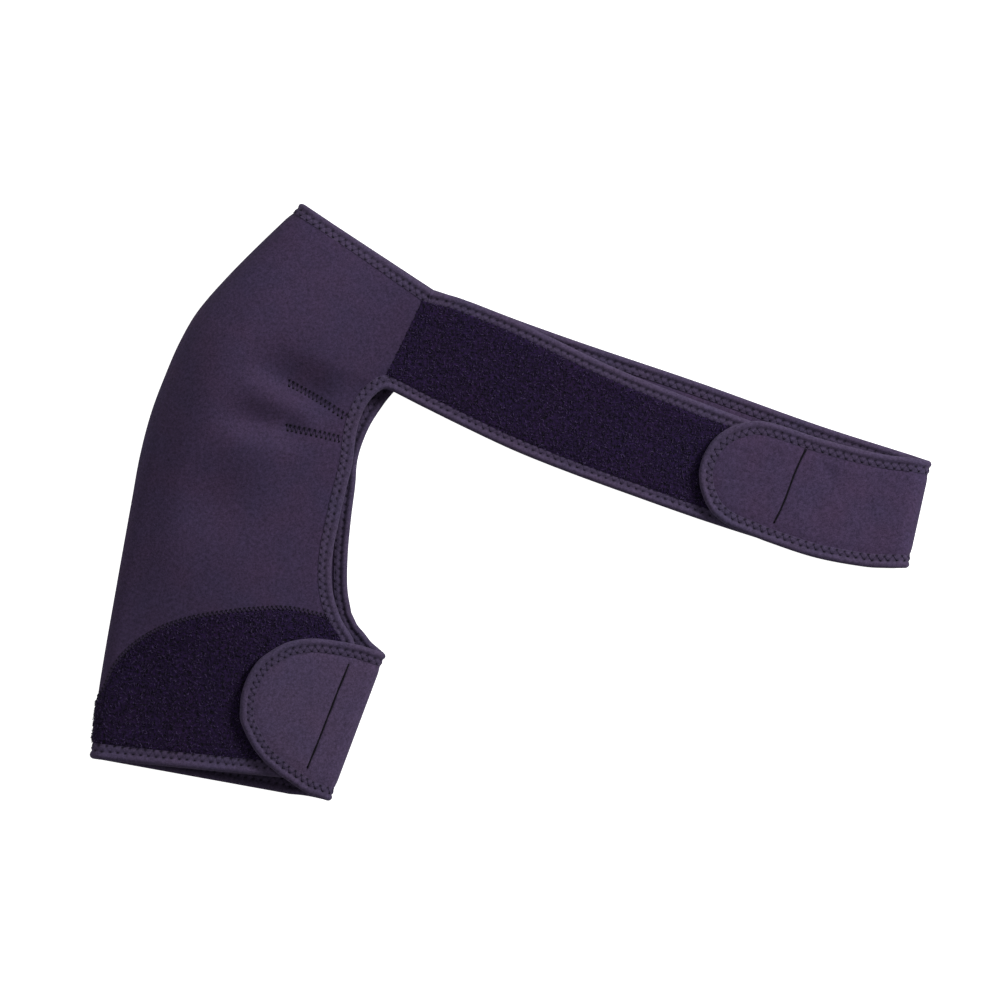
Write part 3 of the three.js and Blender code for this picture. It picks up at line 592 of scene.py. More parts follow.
def make_threads(name, paths, normals, radius, sides, material, deep=0):
    """Many short threads as one mesh. Each path is a row of points, with the cloth's normals."""
    count, steps = paths.shape[:2]
    way = np.empty_like(paths)
    way[:, 1:-1] = paths[:, 2:] - paths[:, :-2]
    way[:, 0] = paths[:, 1] - paths[:, 0]
    way[:, -1] = paths[:, -1] - paths[:, -2]
    way = unit(way)
    aside = unit(np.cross(way, normals))
    up = np.cross(aside, way)
    turn = np.arange(sides) * 2 * np.pi / sides
    ring = aside[:, :, None] * np.cos(turn)[:, None] + up[:, :, None] * np.sin(turn)[:, None]
    radius = np.broadcast_to(radius, (count, steps))[..., None, None]
    points = (paths[:, :, None] + ring * radius).reshape(-1, 3)
    index = np.arange(count * steps * sides).reshape(count, steps, sides)
    ahead = np.roll(index, -1, axis=2)
    walls = np.stack([index[:, :-1], index[:, 1:], ahead[:, 1:], ahead[:, :-1]], axis=-1)
    faces = walls.reshape(-1, 4).tolist() + index[:, 0].tolist() + index[:, -1, ::-1].tolist()
    reach = np.broadcast_to(np.linspace(0, 1, steps)[None, :, None], (count, steps, sides))
    round_it = np.broadcast_to(turn / (2 * np.pi), (count, steps, sides))
    dark = np.broadcast_to(deep, (count, steps))[..., None]
    lay = np.stack([reach, round_it, np.broadcast_to(dark, reach.shape)], axis=-1).reshape(-1, 3)
    return make_piece(name, points, faces, material, lay)


def resample(line, stops):
    """Values of a line, and of what goes with it, at stops that count its points."""
    low = np.clip(stops.astype(int), 0, len(line) - 2)
    share = (stops - low).reshape(-1, *([1] * (line.ndim - 1)))
    return mix(line[low], line[low + 1], share)


def bind_edge(name, edge, inward, normal, stitch, seed, width=tape_width, reach_on=(0, 0)):
    """Tape over one edge, from unit directions on the cloth at each edge point. It can reach on
    past its two ends, to meet the tapes beside it."""
    draws = np.random.default_rng(seed)
    before = edge[:1] - unit(edge[1:2] - edge[:1]) * reach_on[0]
    after = edge[-1:] + unit(edge[-1:] - edge[-2:-1]) * reach_on[1]
    edge = np.concatenate([before, edge, after])
    inward, normal = (np.concatenate([line[:1], line, line[-1:]]) for line in (inward, normal))
    seam_line = edge + inward * outer_row
    reach = np.concatenate([[0], np.cumsum(length(np.diff(seam_line, axis=0)))])
    stitches = max(int(round(reach[-1] / stitch)), 2)
    rings = stitches * rings_per_stitch + 1
    along = np.linspace(0, reach[-1], rings)
    stops = np.interp(along, reach, np.arange(len(reach)))
    pitch = reach[-1] / stitches
    edge, inward, normal = (resample(line, stops) for line in (edge, inward, normal))
    scale = width / tape_width
    holes = []
    for row, shift in ((outer_row, 0.25), (inner_row, 0.75)):
        place = (np.arange(stitches) + shift) * pitch + draws.normal(0, 0.22, stitches)
        inset = row * scale + draws.normal(0, 0.16, stitches)
        holes.append(np.stack([place, inset], axis=1))
    pull = draws.uniform(0.75, 1.15, (2, stitches))
    swells = stitches // 3 + 2
    swell = np.interp(along, np.linspace(0, reach[-1], swells), draws.normal(0, 1, swells))

    def pit(at, inset, wide):
        """How strongly the nearest needle hole of each row acts at a place on the tape."""
        total = 0
        for row, strength in zip(holes, pull):
            near = np.clip(np.round(at / pitch - row[0, 0] / pitch).astype(int), 0, stitches - 1)
            gap = ((at - row[near, 0]) / wide) ** 2 + ((inset - row[near, 1]) / (wide * 0.8)) ** 2
            total = total + strength[near] * np.exp(-gap)
        return np.minimum(total, 1.2)

    insets = tape_profile[:, 0] * np.where(tape_profile[:, 0] > 0, scale, 1)
    heights = tape_profile[:, 1]
    grid_at, grid_inset = np.meshgrid(along, insets, indexing="ij")
    top = heights[None, :] * (1 + 0.05 * swell[:, None])
    top = top - pit_depth * pit(grid_at, grid_inset, pit_reach) * (grid_inset > 1.8)
    # Painted shade: the tape's colour darkens in and round each needle pit.
    pit_shade = pit_shade_strength * pit(grid_at, grid_inset, pit_shade_reach)

    def spread(inset, height):
        inset = np.broadcast_to(inset, height.shape)[..., None]
        return edge[:, None] + inward[:, None] * inset + normal[:, None] * height[..., None]

    upper = spread(insets, top)
    lower = spread(insets[-2::-1], -pressed_under * top[:, -2::-1])
    inner_insets = tape_inside[:, 0] * np.where(tape_inside[:, 0] > 0, scale, 1)
    inner = spread(inner_insets, np.broadcast_to(tape_inside[:, 1], (rings, len(tape_inside))))
    points = np.concatenate([upper, lower, inner], axis=1)
    index = np.arange(rings * points.shape[1]).reshape(rings, -1)
    looped = np.concatenate([index, index[:, :1]], axis=1)
    faces = grid_faces(looped).tolist() + [index[0].tolist(), index[-1, ::-1].tolist()]
    profile = np.concatenate([tape_profile, tape_profile[-2::-1] * (1, -1), tape_inside])
    round_it = np.concatenate([[0], np.cumsum(length(np.diff(profile, axis=0)))])
    marks = np.concatenate([pit_shade, pit_shade[:, -2::-1], np.zeros((rings, len(tape_inside)))], axis=1)
    lay = np.stack([
        np.broadcast_to(along[:, None], marks.shape),
        np.broadcast_to(round_it, marks.shape),
        np.minimum(marks, 1),
    ], axis=-1)
    tape = make_piece(name, points.reshape(-1, 3), faces, tape_jersey, lay.reshape(-1, 3))

    turns = np.stack(holes, axis=1).reshape(-1, 2)
    share = np.array([0, 0.1, 0.24, 0.5, 0.76, 0.9, 1])
    run = mix(turns[:-1, None], turns[1:, None], share[None, :, None])
    stop = np.interp(run[..., 0], along, np.arange(rings))
    at_stop, at_inward, lean = (
        resample(line, stop.ravel()).reshape(*stop.shape, 3) for line in (edge, inward, normal)
    )
    base = at_stop + at_inward * run[..., 1:]
    height = np.interp(-run[..., 1], -insets, heights)
    height = height - pit_depth * pit(run[..., 0], run[..., 1], pit_reach)
    height = height + np.array([-0.2, -0.08, 0.02, 0.05, 0.02, -0.08, -0.2])
    # Painted shade: the thread darkens towards each end, where it dives into a needle hole.
    deep = np.array([1, 0.8, 0.1, 0, 0.1, 0.8, 1])
    radius = np.array([0.74, 0.52, 0.22, 0.18, 0.22, 0.52, 0.74])
    paths = np.concatenate([base + lean * height[..., None], base - lean * height[..., None]])
    leans = np.concatenate([lean, -lean])
    seam = make_threads(name.replace("tape", "zigzag"), paths, leans, radius, 4, thread, deep)
    return tape, seam


def sleeve_ring(down, towards, hold, spacing):
    """Edge points, inward directions and normals round one open end of the sleeve."""
    girth = np.concatenate([
        np.linspace(0, 1, 120), 1 + np.linspace(0, 1, 60)[1:], 2 + np.linspace(0, 1, 120)[1:],
    ])
    edge = sleeve_point(girth, down)
    inside = sleeve_point(girth, down + towards * hold / spacing)
    return edge_frames(edge, inside)


def edge_frames(edge, inside):
    """Inward steps that lie along the cloth's rulings, long enough to count square to the edge."""
    way = unit(np.gradient(edge, axis=0))
    ruling = unit(inside - edge)
    normal = unit(np.cross(ruling, way))
    square = np.cross(way, normal)
    reach = np.maximum((ruling * square).sum(-1), 0.5)
    return edge, ruling / reach[:, None], normal


neck_tape, neck_zigzag = bind_edge(
    "neck_tape", *sleeve_ring(0, 1, edge_hold, neck_spacing), stitch=5.2, seed=11, reach_on=(1.1, 1.1),
)
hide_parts("neck_binding")
cuff_tape, cuff_zigzag = bind_edge(
    "cuff_tape", *sleeve_ring(1, -1, hem_hold, cuff_spacing), stitch=5.2, seed=12, width=hem_width,
    reach_on=(0, 1.6),
)
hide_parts("cuff_binding")

# Front chest strap: a foam strip sewn to the front panel, with its end hidden under the tab. One
# length of tape runs round it and on down the armpit edge of the front panel.
strap_length = 354
strap_width = 73
strap_slope = math.radians(19.2)
front_strap_end = 0.9
strap_end_round = 9
search_rounds = 30
front_joined = 0.05
front_strap_edges = table(
    "at upper lower",
    (0.05, 0.023, -1.01),
    (0.15, 0.003, -1.07),
    (0.25, -0.048, -1.12),
    (0.35, -0.105, -1.143),
    (0.46, -0.142, -1.152),
    (0.65, -0.168, -1.155),
    (0.9, -0.172, -1.12),
)


def strap_plan(start, way, along, across):
    """A plan place in a strap's own frame: along its way, and across to the side on its left."""
    left = np.array([-way[1], way[0]])
    return start + np.asarray(along)[..., None] * way + np.asarray(across)[..., None] * left


chest_way = np.array([math.cos(strap_slope), -math.sin(strap_slope)])
chest_start = neck_front_end


def soften(line, reach, step=0.8):
    """Evens out a line's points and rounds its corners over about the reach."""
    line = line[np.concatenate([[True], length(np.diff(line, axis=0)) > 1e-6])]
    run = np.concatenate([[0], np.cumsum(length(np.diff(line, axis=0)))])
    stops = np.linspace(0, run[-1], int(run[-1] / step) + 1)
    even = np.stack([np.interp(stops, run, column) for column in line.T], axis=1)
    offsets = np.arange(-int(3 * reach / step), int(3 * reach / step) + 1)
    weights = np.exp(-((offsets * step / reach) ** 2) / 2)
    order = np.arange(len(even))[:, None] + offsets[None, :]
    last = len(even) - 1
    mirrored = np.where(order < 0, -order, np.where(order > last, 2 * last - order, order))
    values = even[np.clip(mirrored, 0, last)]
    values = np.where((order < 0)[..., None], 2 * even[0] - values, values)
    values = np.where((order > last)[..., None], 2 * even[-1] - values, values)
    return (values * weights[None, :, None]).sum(1) / weights.sum()


def front_height(points, guess):
    """Height of the front layer's middle over plan points, on the panel or past its edge."""
    down = np.full(points.shape[:-1], float(guess))
    for _ in range(search_rounds):
        start = fold_line(down)
        way = front_edge(down) - start
        offset = points - start
        across = np.clip((offset * way).sum(-1) / (way * way).sum(-1), 0.05, 1)
        towards_cuff = unit(np.stack([way[..., 1], -way[..., 0]], axis=-1))
        down = np.clip(down + (offset * towards_cuff).sum(-1) / sleeve_length, 0, 1)
    return front_panel(across * length(way), down)[..., 2]


def strap_side(corner, side, shares, first, reach, bite=0):
    """One edge of a chest strap in plan: straight on from its seam's corner, then by its table."""
    plain = strap_plan(
        chest_start, chest_way, shares * reach, side(np.maximum(shares, first)) * strap_width + bite,
    )
    near = strap_plan(chest_start, chest_way, first * reach, side(first) * strap_width)
    joined = mix(corner, near, np.clip(shares / first, 0, 1)[:, None])
    return np.where((shares < first)[:, None], joined, plain)


front_shares = np.concatenate([
    np.linspace(0, front_strap_end - 0.03, 150),
    np.linspace(front_strap_end - 0.029, front_strap_end, 16),
])
past_corner = np.clip(
    strap_end_round - (front_strap_end - front_shares) * strap_length, 0, strap_end_round,
)
end_bite = strap_end_round - np.sqrt(strap_end_round**2 - past_corner**2)
front_upper, front_lower = (
    strap_side(corner, front_strap_edges[name], front_shares, front_joined, strap_length, bite)
    for corner, name, bite in zip(chest_seam, ("upper", "lower"), (-end_bite, end_bite))
)
across_strap = np.linspace(0, 1, 46)


def make_front_strap():
    place = mix(front_upper[:, None], front_lower[:, None], across_strap[None, :, None])
    grid = np.concatenate([place, np.full((*place.shape[:2], 1), over_height)], axis=-1)
    ripple = 0.35 * np.sin(front_shares * 23)[:, None] * np.sin(across_strap * math.pi)[None, :]
    grid[..., 2] += ripple * smooth(front_shares, 0.02, 0.15)[:, None]
    bound = np.concatenate([grid[:, 0], grid[:, -1], grid[-1]])
    thickness = foam_thickness * pressed(distance_to(grid, bound))
    return make_sheet("front_strap_foam", grid, thickness, body_jersey)


front_strap = make_front_strap()
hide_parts("front_strap")


def front_frames():
    """Frames of the tape out round the strap and down the armpit, with the cloth on its right."""
    down = np.linspace(armpit_top, 1 - (hem_width + 2) / cuff_spacing, 240)
    outline = soften(np.concatenate([front_upper, front_lower[::-1], front_edge(down)]), 3.2)
    way = unit(np.gradient(outline, axis=0))
    inside = outline + frame_reach * np.stack([way[:, 1], -way[:, 0]], axis=-1)
    return edge_frames(*(
        np.column_stack([place, front_height(place, 0.5)]) for place in (outline, inside)
    ))


front_tape, front_zigzag = bind_edge(
    "front_tape", *front_frames(), stitch=5.3, seed=13, reach_on=(1.1, 0),
)
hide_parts("front_strap_binding", "front_armpit_binding")

# Loop cloth: the dark fleecy half of the touch fastener. One patch covers the front strap and one
# the lower arm. Each is a knitted backing that is sewn flat, with brushed loops of fine yarn.
loop_thickness = 1.2
backing_thickness = 0.9
loop_inset = 7.4
pile_foot = 0.4
yarn_radius = 0.17
loop_backing = cloth_material(
    "loop backing", jersey_knit,
    {"Colour": linear(24, 13, 42), "Warm Colour": linear(28, 14, 42), "Wale Width": 0.8, "Mottle": 1.1},
    sheen=0.05, bump=0.6,
)
loop_yarn = cloth_material(
    "loop yarn", thread_twist,
    {"Colour": linear(80, 66, 102), "Deep Colour": linear(29, 18, 45)},
    sheen=0.08, bump=0.2, depth=0.0001,
)


def make_pile(name, grid, count, seed):
    """Brushed loops that stand on a grid of points, each a short arch that leans its own way."""
    draws = np.random.default_rng(seed)
    normals = grid_normals(grid)
    size = length(np.cross(grid[1:, :-1] - grid[:-1, :-1], grid[:-1, 1:] - grid[:-1, :-1]))
    cell = draws.choice(size.size, count, p=(size / size.sum()).ravel())
    i, j = np.unravel_index(cell, size.shape)
    share = draws.uniform(0, 1, (count, 2, 1))
    near = mix(grid[i, j], grid[i + 1, j], share[:, 0])
    far = mix(grid[i, j + 1], grid[i + 1, j + 1], share[:, 0])
    foot = mix(near, far, share[:, 1])
    lean = normals[i, j]
    turn = draws.uniform(0, 2 * np.pi, count)
    first = unit(grid[i + 1, j] - grid[i, j])
    second = np.cross(lean, first)
    way = first * np.cos(turn)[:, None] + second * np.sin(turn)[:, None]
    span = draws.uniform(0.9, 2.1, count)[:, None, None]
    rise = draws.uniform(0.45, 1.0, count)[:, None, None]
    step = np.array([0, 0.22, 0.55, 0.85, 1])[None, :, None]
    arch = np.array([-0.15, 0.75, 1, 0.55, -0.15])[None, :, None]
    curl = draws.normal(0, 0.3, (count, 1, 1)) * np.sin(step * 2 * np.pi)
    paths = foot[:, None] + way[:, None] * span * (step - 0.5) + lean[:, None] * rise * arch
    paths = paths + np.cross(lean, way)[:, None] * curl
    bright = draws.uniform(0, 1, count) ** 3.2
    deep = np.broadcast_to(1 - bright[:, None], (count, 5))
    leans = np.broadcast_to(lean[:, None], paths.shape)
    pile = make_threads(name, paths, leans, yarn_radius, 3, loop_yarn, deep)
    return pile


def make_chest_loops():
    keep = front_shares < front_strap_end - 10 / strap_length
    upper = front_upper[keep]
    lower = front_lower[keep]
    span = length(lower - upper)[:, None]
    inset = loop_inset / span
    across = inset + (1 - 2 * inset) * np.linspace(0, 1, 40)[None, :]
    place = mix(upper[:, None], lower[:, None], across[..., None])
    height = np.full((*place.shape[:2], 1), over_height)
    grid = np.concatenate([place, height], axis=-1)
    ragged = 3 + 0.5 * np.sin(across[0] * 97) * np.sin(across[0] * 41)
    grid[0] -= np.append(unit(chest_way), 0) * ragged[:, None]
    rim = distance_to(grid, np.concatenate([grid[:, 0], grid[:, -1]]))
    lump = 0.1 * np.sin(grid[..., 0] * 1.7) * np.sin(grid[..., 1] * 1.9 + grid[..., 0] * 0.6)
    grid[..., 2] += foam_thickness / 2 + 0.25 * smooth(rim, 0, 3) - 0.35 * (1 - smooth(rim, 0, 2)) + lump
    backing = make_sheet("chest_loop_backing", grid, backing_thickness, loop_backing)
    grid[..., 2] += pile_foot
    return backing, make_pile("chest_loop_pile", grid[:, ::-1], 6400, 21)


chest_loops, chest_pile = make_chest_loops()
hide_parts("chest_loop_patch")

arm_loop_top = table(
    "at top",
    (-0.06, 0.93),
    (0, 0.905),
    (0.026, 0.881),
    (0.042, 0.855),
    (0.089, 0.827),
    (0.2, 0.797),
    (0.34, 0.779),
    (0.49, 0.7705),
    (0.645, 0.766),
    (0.8, 0.768),
    (1, 0.795),
)


def arm_loop_grid(rows, columns):
    """Places on the lower arm from the armpit tape round to just under the fold."""
    section = np.array(0.85)
    width = length(front_edge(section) - fold_line(section))
    radius = fold["bend"](section) * fold_radius
    column = np.linspace(0, 1, columns)
    turn = np.linspace(0, 0.6, columns // 6)[1:] * np.pi
    front_across = mix(1 - loop_inset / width, radius / width, column)
    bend_across = radius / width * (1 - np.sin(turn)) * np.where(turn > np.pi / 2, -1, 1)
    across = np.concatenate([front_across, bend_across])
    girth_end = np.concatenate([column, 1 + turn / np.pi])
    near = sleeve_point(girth_end, 1.0) - sleeve_point(girth_end, 0.97)
    bottom = 1 - (hem_width - 0.6) * 0.03 / length(near)
    share = np.linspace(0, 1, rows)[:, None]
    down = mix(arm_loop_top["top"](across)[None, :], bottom[None, :], share)
    row_width = length(front_edge(down) - fold_line(down))
    row_radius = fold["bend"](down) * fold_radius
    start = loop_inset / (row_width - row_radius)
    girth = np.where(girth_end < 1, mix(start, 1, girth_end), girth_end)
    return sleeve_point(girth, down)


def make_arm_loops():
    grid = arm_loop_grid(62, 72)
    normals = grid_normals(grid)
    rim = distance_to(grid, np.concatenate([grid[0], grid[-1], grid[:, 0]]))
    lump = 0.1 * np.sin(grid[..., 0] * 1.6) * np.sin(grid[..., 1] * 1.8 + grid[..., 0] * 0.5)
    lift = foam_thickness / 2 + 0.3 * smooth(rim, 0, 3) - 0.3 * (1 - smooth(rim, 0, 1.5)) + lump
    sign = 1 if normals[grid.shape[0] // 2, 10, 2] > 0 else -1
    raised = grid + normals * sign * lift[..., None]
    backing = make_sheet("arm_loop_backing", raised, backing_thickness, loop_backing)
    top = raised + normals * sign * pile_foot
    if sign < 0:
        top = top[:, ::-1]
    outside = grid[0] + unit(grid[0] - grid[1]) * 1.4
    return backing, make_pile("arm_loop_pile", top, 5500, 22), outside, normals[0] * sign


arm_loops, arm_pile, arm_loop_rim, arm_loop_normals = make_arm_loops()
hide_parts("arm_loop_patch")


def zigzag_seam(name, line, normals, wide, pitch, lift, height=None, tight=0):
    """A zigzag of thread along a line on the cloth's middle, darkened with painted shade towards its
    needle holes. Its first stitches can be tight.
    """
    run = np.concatenate([[0], np.cumsum(length(np.diff(line, axis=0)))])
    count = int(run[-1] / pitch * 2)
    stops = np.interp(np.linspace(0, run[-1], count + 1), run, np.arange(len(run)))
    centre = resample(line, stops)
    lean = unit(resample(normals, stops))
    aside = unit(np.cross(lean, np.gradient(centre, axis=0)))
    side = np.where(np.arange(count + 1) % 2 == 0, wide / 2, -wide / 2)[:, None]
    turns = centre + aside * side
    share = np.array([0, 0.15, 0.5, 0.85, 1])[None, :, None]
    paths = mix(turns[:-1, None], turns[1:, None], share)
    if height:
        paths[..., 2] = height(paths[..., :2])
    paths = paths + lean[:-1, None] * (np.array([-0.15, 0, 0.06, 0, -0.15])[None, :, None] + lift)
    leans = np.broadcast_to(lean[:-1, None], paths.shape)
    # Painted shade: most of each stitch darkens towards the needle holes at its ends.
    deep = np.array([1, 0.9, 0.1, 0.9, 1])
    radius = np.array([0.82, 0.5, 0.16, 0.5, 0.82]) * (1 + 0.35 * (np.arange(count)[:, None] < tight))
    seam = make_threads(name, paths, leans, radius, 5, thread, deep)
    return seam


arm_loop_zigzag = zigzag_seam(
    "arm_loop_zigzag", arm_loop_rim, arm_loop_normals,
    wide=2.2, pitch=3.1, lift=foam_thickness / 2 + 0.25,
)

# Darts: two short folds of the front panel, closed by a band of close zigzag from the armpit tape
# towards the middle. They round the panel over the shoulder.
dart_band = 4.7
dart_pitch = 3.3
dart_step = 0.5


def dart_level(place):
    return front_height(place, 0.4)


def make_dart(name, dart):
    share = np.linspace(0, 1, 40)[:, None]
    line = dart_line(dart, share)
    way = unit(line[-1:] - line[:1])
    line = line + np.sin(share * math.pi) * dart["bow"] * np.stack([-way[:, 1], way[:, 0]], axis=-1)
    rise_x, rise_y = (
        (dart_level(line + step) - dart_level(line - step)) / (2 * dart_step)
        for step in ((dart_step, 0), (0, dart_step))
    )
    lean = unit(np.stack([-rise_x, -rise_y, np.ones(len(line))], axis=-1))
    return zigzag_seam(
        name, np.column_stack([line, dart_level(line)]), lean,
        dart_band, dart_pitch, foam_thickness / 2 + 0.1, dart_level, tight=3,
    )


dart_seams = [make_dart(f"dart_zigzag_{number + 1}", dart) for number, dart in enumerate(darts)]

# Back chest strap: the long foam strap, sewn to the back panel. It runs under the front strap,
# turns up round the right end and comes back over it as a tab with a rounded tip. The hook patch
# behind the tab ends at a straight seam in a groove, with painted shade along it. One tape goes all
# round it.
chest_tab_length = 153
chest_tab_slope = math.radians(14)
chest_fold_reach = np.array([1.008, 1.032])
back_joined = 0.08
turn_steps = 30
across_turned = np.linspace(0, 1, 60)
clearance = 0.35
hook_thickness = 1.2
tab_offset = foam_thickness + loop_thickness + hook_thickness + 3 * clearance
back_strap_edges = table(
    "at upper lower",
    (0.08, 0.024, -0.945),
    (0.18, 0.008, -0.965),
    (0.32, 0.004, -0.975),
    (0.55, 0.014, -0.97),
    (0.8, 0.004, -0.958),
    (1, 0.028, -0.955),
)
chest_tab_edges = table(
    "at up_along up_across low_along low_across",
    (0, 0.08, 0.48, 0.06, -0.53),
    (0.2, 0.24, 0.443, 0.174, -0.576),
    (0.45, 0.502, 0.448, 0.395, -0.604),
    (0.68, 0.694, 0.478, 0.617, -0.57),
    (0.79, 0.79, 0.465, 0.72, -0.539),
    (0.88, 0.878, 0.376, 0.803, -0.511),
    (0.94, 0.935, 0.263, 0.87, -0.452),
    (0.97, 0.965, 0.144, 0.914, -0.372),
    (0.99, 0.979, 0.011, 0.953, -0.256),
    (1, 0.979, -0.099, 0.97, -0.171),
)
chest_fold = strap_plan(
    chest_start, chest_way,
    chest_fold_reach * strap_length,
    np.array([0.028, -0.955]) * strap_width,
)
chest_tab = {
    "start": chest_fold.mean(0),
    "way": np.array([-math.cos(chest_tab_slope), math.sin(chest_tab_slope)]),
    "length": chest_tab_length,
    "width": strap_width,
}


def tab_plan(tab, along, across):
    """A plan place on a tab, from its shares along the tab and up across it."""
    return strap_plan(tab["start"], tab["way"], along * tab["length"], -across * tab["width"])


def tab_rulings(tab, edges, stops):
    upper = tab_plan(tab, edges["up_along"](stops), edges["up_across"](stops))
    lower = tab_plan(tab, edges["low_along"](stops), edges["low_across"](stops))
    return np.stack([upper, lower], axis=1)


def turned_strap(under, fold_ends, tab, tab_height, hold, width, across):
    """Rows of points over a strap that lies on the floor, turns up round its fold and comes back."""
    across = np.asarray(across)[None, :, None]
    lift = edge_lift * near_edge(np.minimum(across, 1 - across)[..., 0] * width, hold)

    def raised(place, height):
        level = np.broadcast_to(height[..., None], (*place.shape[:-1], 1))
        return np.concatenate([place, level], axis=-1)

    low = mix(under[:, :1], under[:, 1:], across)
    high = mix(tab[:, :1], tab[:, 1:], across)
    floor_rows = raised(low, under_height + lift)
    tab_rows = raised(high, tab_height(high))
    turn = ((np.arange(1, turn_steps) / turn_steps - 0.5) * np.pi)[:, None, None]
    tip = mix(fold_ends[None, :1], fold_ends[None, 1:], across)
    plan_place = mix(np.where(turn < 0, low[-1:], high[:1]), tip, np.cos(turn))
    height = mix(floor_rows[-1:, :, 2], tab_rows[:1, :, 2], (1 + np.sin(turn[..., 0])) / 2)
    return np.concatenate([floor_rows, raised(plan_place, height), tab_rows])


def groove_line(tab, upper, lower, bow):
    """The straight seam across a tab where the hook patch behind it ends."""
    share = np.linspace(0, 1, 40)
    along = mix(upper[0], lower[0], share) + bow * np.sin(share * np.pi * 2)
    return tab_plan(tab, along, mix(upper[1], lower[1], share))


def plan_distance(points, line):
    flat = np.concatenate([points, np.zeros((*points.shape[:-1], 1))], axis=-1)
    return distance_to(flat, np.concatenate([line, np.zeros((len(line), 1))], axis=-1))


chest_groove_line = groove_line(chest_tab, upper=(0.55, 0.335), lower=(0.609, -0.4), bow=0.004)
groove_depth = {"chest": 0.45, "arm": 0.4}
groove_reach = 0.9
chest_creases = (
    {"from": (0.9, 0.16), "to": (0.76, 0.19), "depth": 0.45, "wide": 1.5},
    {"from": (0.93, -0.13), "to": (0.68, -0.06), "depth": 0.5, "wide": 1.3},
    {"from": (0.8, -0.3), "to": (0.71, -0.14), "depth": 0.35, "wide": 1.6},
    {"from": (0.47, 0.26), "to": (0.37, 0.06), "depth": 0.9, "wide": 5},
    {"from": (0.54, -0.2), "to": (0.46, -0.36), "depth": -0.5, "wide": 3},
    {"from": (0.2, 0.1), "to": (0.24, -0.25), "depth": 0.6, "wide": 7},
    {"from": (0.4, 0.3), "to": (0.5, -0.3), "depth": 0.8, "wide": 6},
)


def tab_relief(points, tab, groove, depth, creases):
    """How far a tab's surface lies down in its seam's groove and in its soft creases."""
    relief = depth * np.exp(-((plan_distance(points, groove) / groove_reach) ** 2))
    for crease in creases:
        start, end = tab_plan(tab, *crease["from"]), tab_plan(tab, *crease["to"])
        run = end - start
        share = np.clip(((points - start) @ run) / (run @ run), 0, 1)
        gap = length(points - start - share[..., None] * run)
        fade = np.sin(np.pi * np.clip(share, 0.08, 0.92))
        relief = relief + crease["depth"] * np.exp(-((gap / crease["wide"]) ** 2)) * fade
    return relief


def chest_tab_height(points):
    relief = tab_relief(points, chest_tab, chest_groove_line, groove_depth["chest"], chest_creases)
    return over_height + tab_offset - relief


turn_depth = (over_height + tab_offset - under_height) / 2
back_shares = np.linspace(0, 1, 110)
tab_stops = 1 - np.linspace(1, 0, 150) ** 1.35


def back_strap_rulings():
    edge = back_edge(seam_stops)
    seam = edge + unit(edge - fold_line(seam_stops)) * seam_gap
    reach = chest_fold_reach * strap_length - turn_depth
    return np.stack([
        strap_side(corner, back_strap_edges[name], back_shares, back_joined, side_reach)
        for corner, name, side_reach in zip(seam, ("upper", "lower"), reach)
    ], axis=1)


def back_strap_rows(across):
    tab = tab_rulings(chest_tab, chest_tab_edges, tab_stops)
    under = back_strap_rulings()
    return turned_strap(under, chest_fold, tab, chest_tab_height, edge_hold, strap_width, across)


def tab_groove_shade(grid, first_row, line):
    """Marks the painted shade along a tab's seam groove, on the rows that belong to the tab alone."""
    near = np.exp(-((plan_distance(grid[..., :2], line) / 0.7) ** 2))
    return near * (np.arange(len(grid)) >= first_row)[:, None]


def make_turned_strap(name, rows, groove, tab_first, material):
    grid = rows(across_turned)
    bound = np.concatenate([grid[:, 0], grid[:, -1], grid[-1]])
    thickness = foam_thickness * pressed(distance_to(grid, bound))
    return make_sheet(name, grid, thickness, material, painted_shade=tab_groove_shade(grid, tab_first, groove))


tab_jersey = cloth_material(
    "strap jersey", jersey_knit,
    {"Colour": linear(57, 47, 73), "Warm Colour": linear(62, 47, 72), "Painted Shade Depth": 0.9},
)
back_strap = make_turned_strap(
    "back_strap_foam", back_strap_rows, chest_groove_line, len(back_shares) + turn_steps, tab_jersey,
)
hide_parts("back_strap")


def strap_frames(rows, width, tab_height, fold_first, further=np.empty((0, 8))):
    """Frames of the tape round a turned strap: out along one edge, round the tip and back."""
    share = frame_reach / width
    grid = rows(np.array([0, share, 1 - share, 1]))
    order = np.arange(len(grid))
    tab_first = fold_first + turn_steps - 1
    off_turn = np.maximum(smooth(fold_first - order, 2, 10), smooth(order - tab_first, 2, 22))
    side = np.where(order < fold_first, 1, -1)
    outward = np.column_stack([grid[:, 0], grid[:, 1], off_turn, side])
    homeward = np.column_stack([grid[:, 3], grid[:, 2], off_turn, side])[::-1]
    run = soften(np.concatenate([outward, homeward, further]), 2.4)
    edge, ruled, square, side = run[:, :3], run[:, 3:6], run[:, 6:7], np.sign(run[:, 7:8])
    way = unit(np.gradient(edge[:, :2], axis=0))
    beside = edge[:, :2] + side * frame_reach * np.stack([way[:, 1], -way[:, 0]], axis=-1)
    level = np.where(side[:, 0] > 0, edge[:, 2], tab_height(beside))
    across = unit(np.column_stack([beside, level]) - edge)
    return edge_frames(edge, edge + mix(unit(ruled - edge), across, np.clip(square, 0, 1)))


def back_armpit_line():
    """The armpit edge of the back panel, which the same length of tape goes on to."""
    down = np.linspace(armpit_top, arm_strap_top, 120)
    edge = back_edge(down)
    inside = mix(edge, fold_line(down), (frame_reach / length(edge - fold_line(down)))[:, None])
    level = np.full((len(down), 1), under_height + edge_lift)
    return np.column_stack([edge, level, inside, level, np.ones((len(down), 2))])


back_tape, back_zigzag = bind_edge(
    "back_tape",
    *strap_frames(
        back_strap_rows, strap_width, chest_tab_height, len(back_shares), back_armpit_line(),
    ),
    stitch=5.5, seed=14, reach_on=(1.1, 1.6),
)
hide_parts("back_strap_binding", "back_armpit_binding")


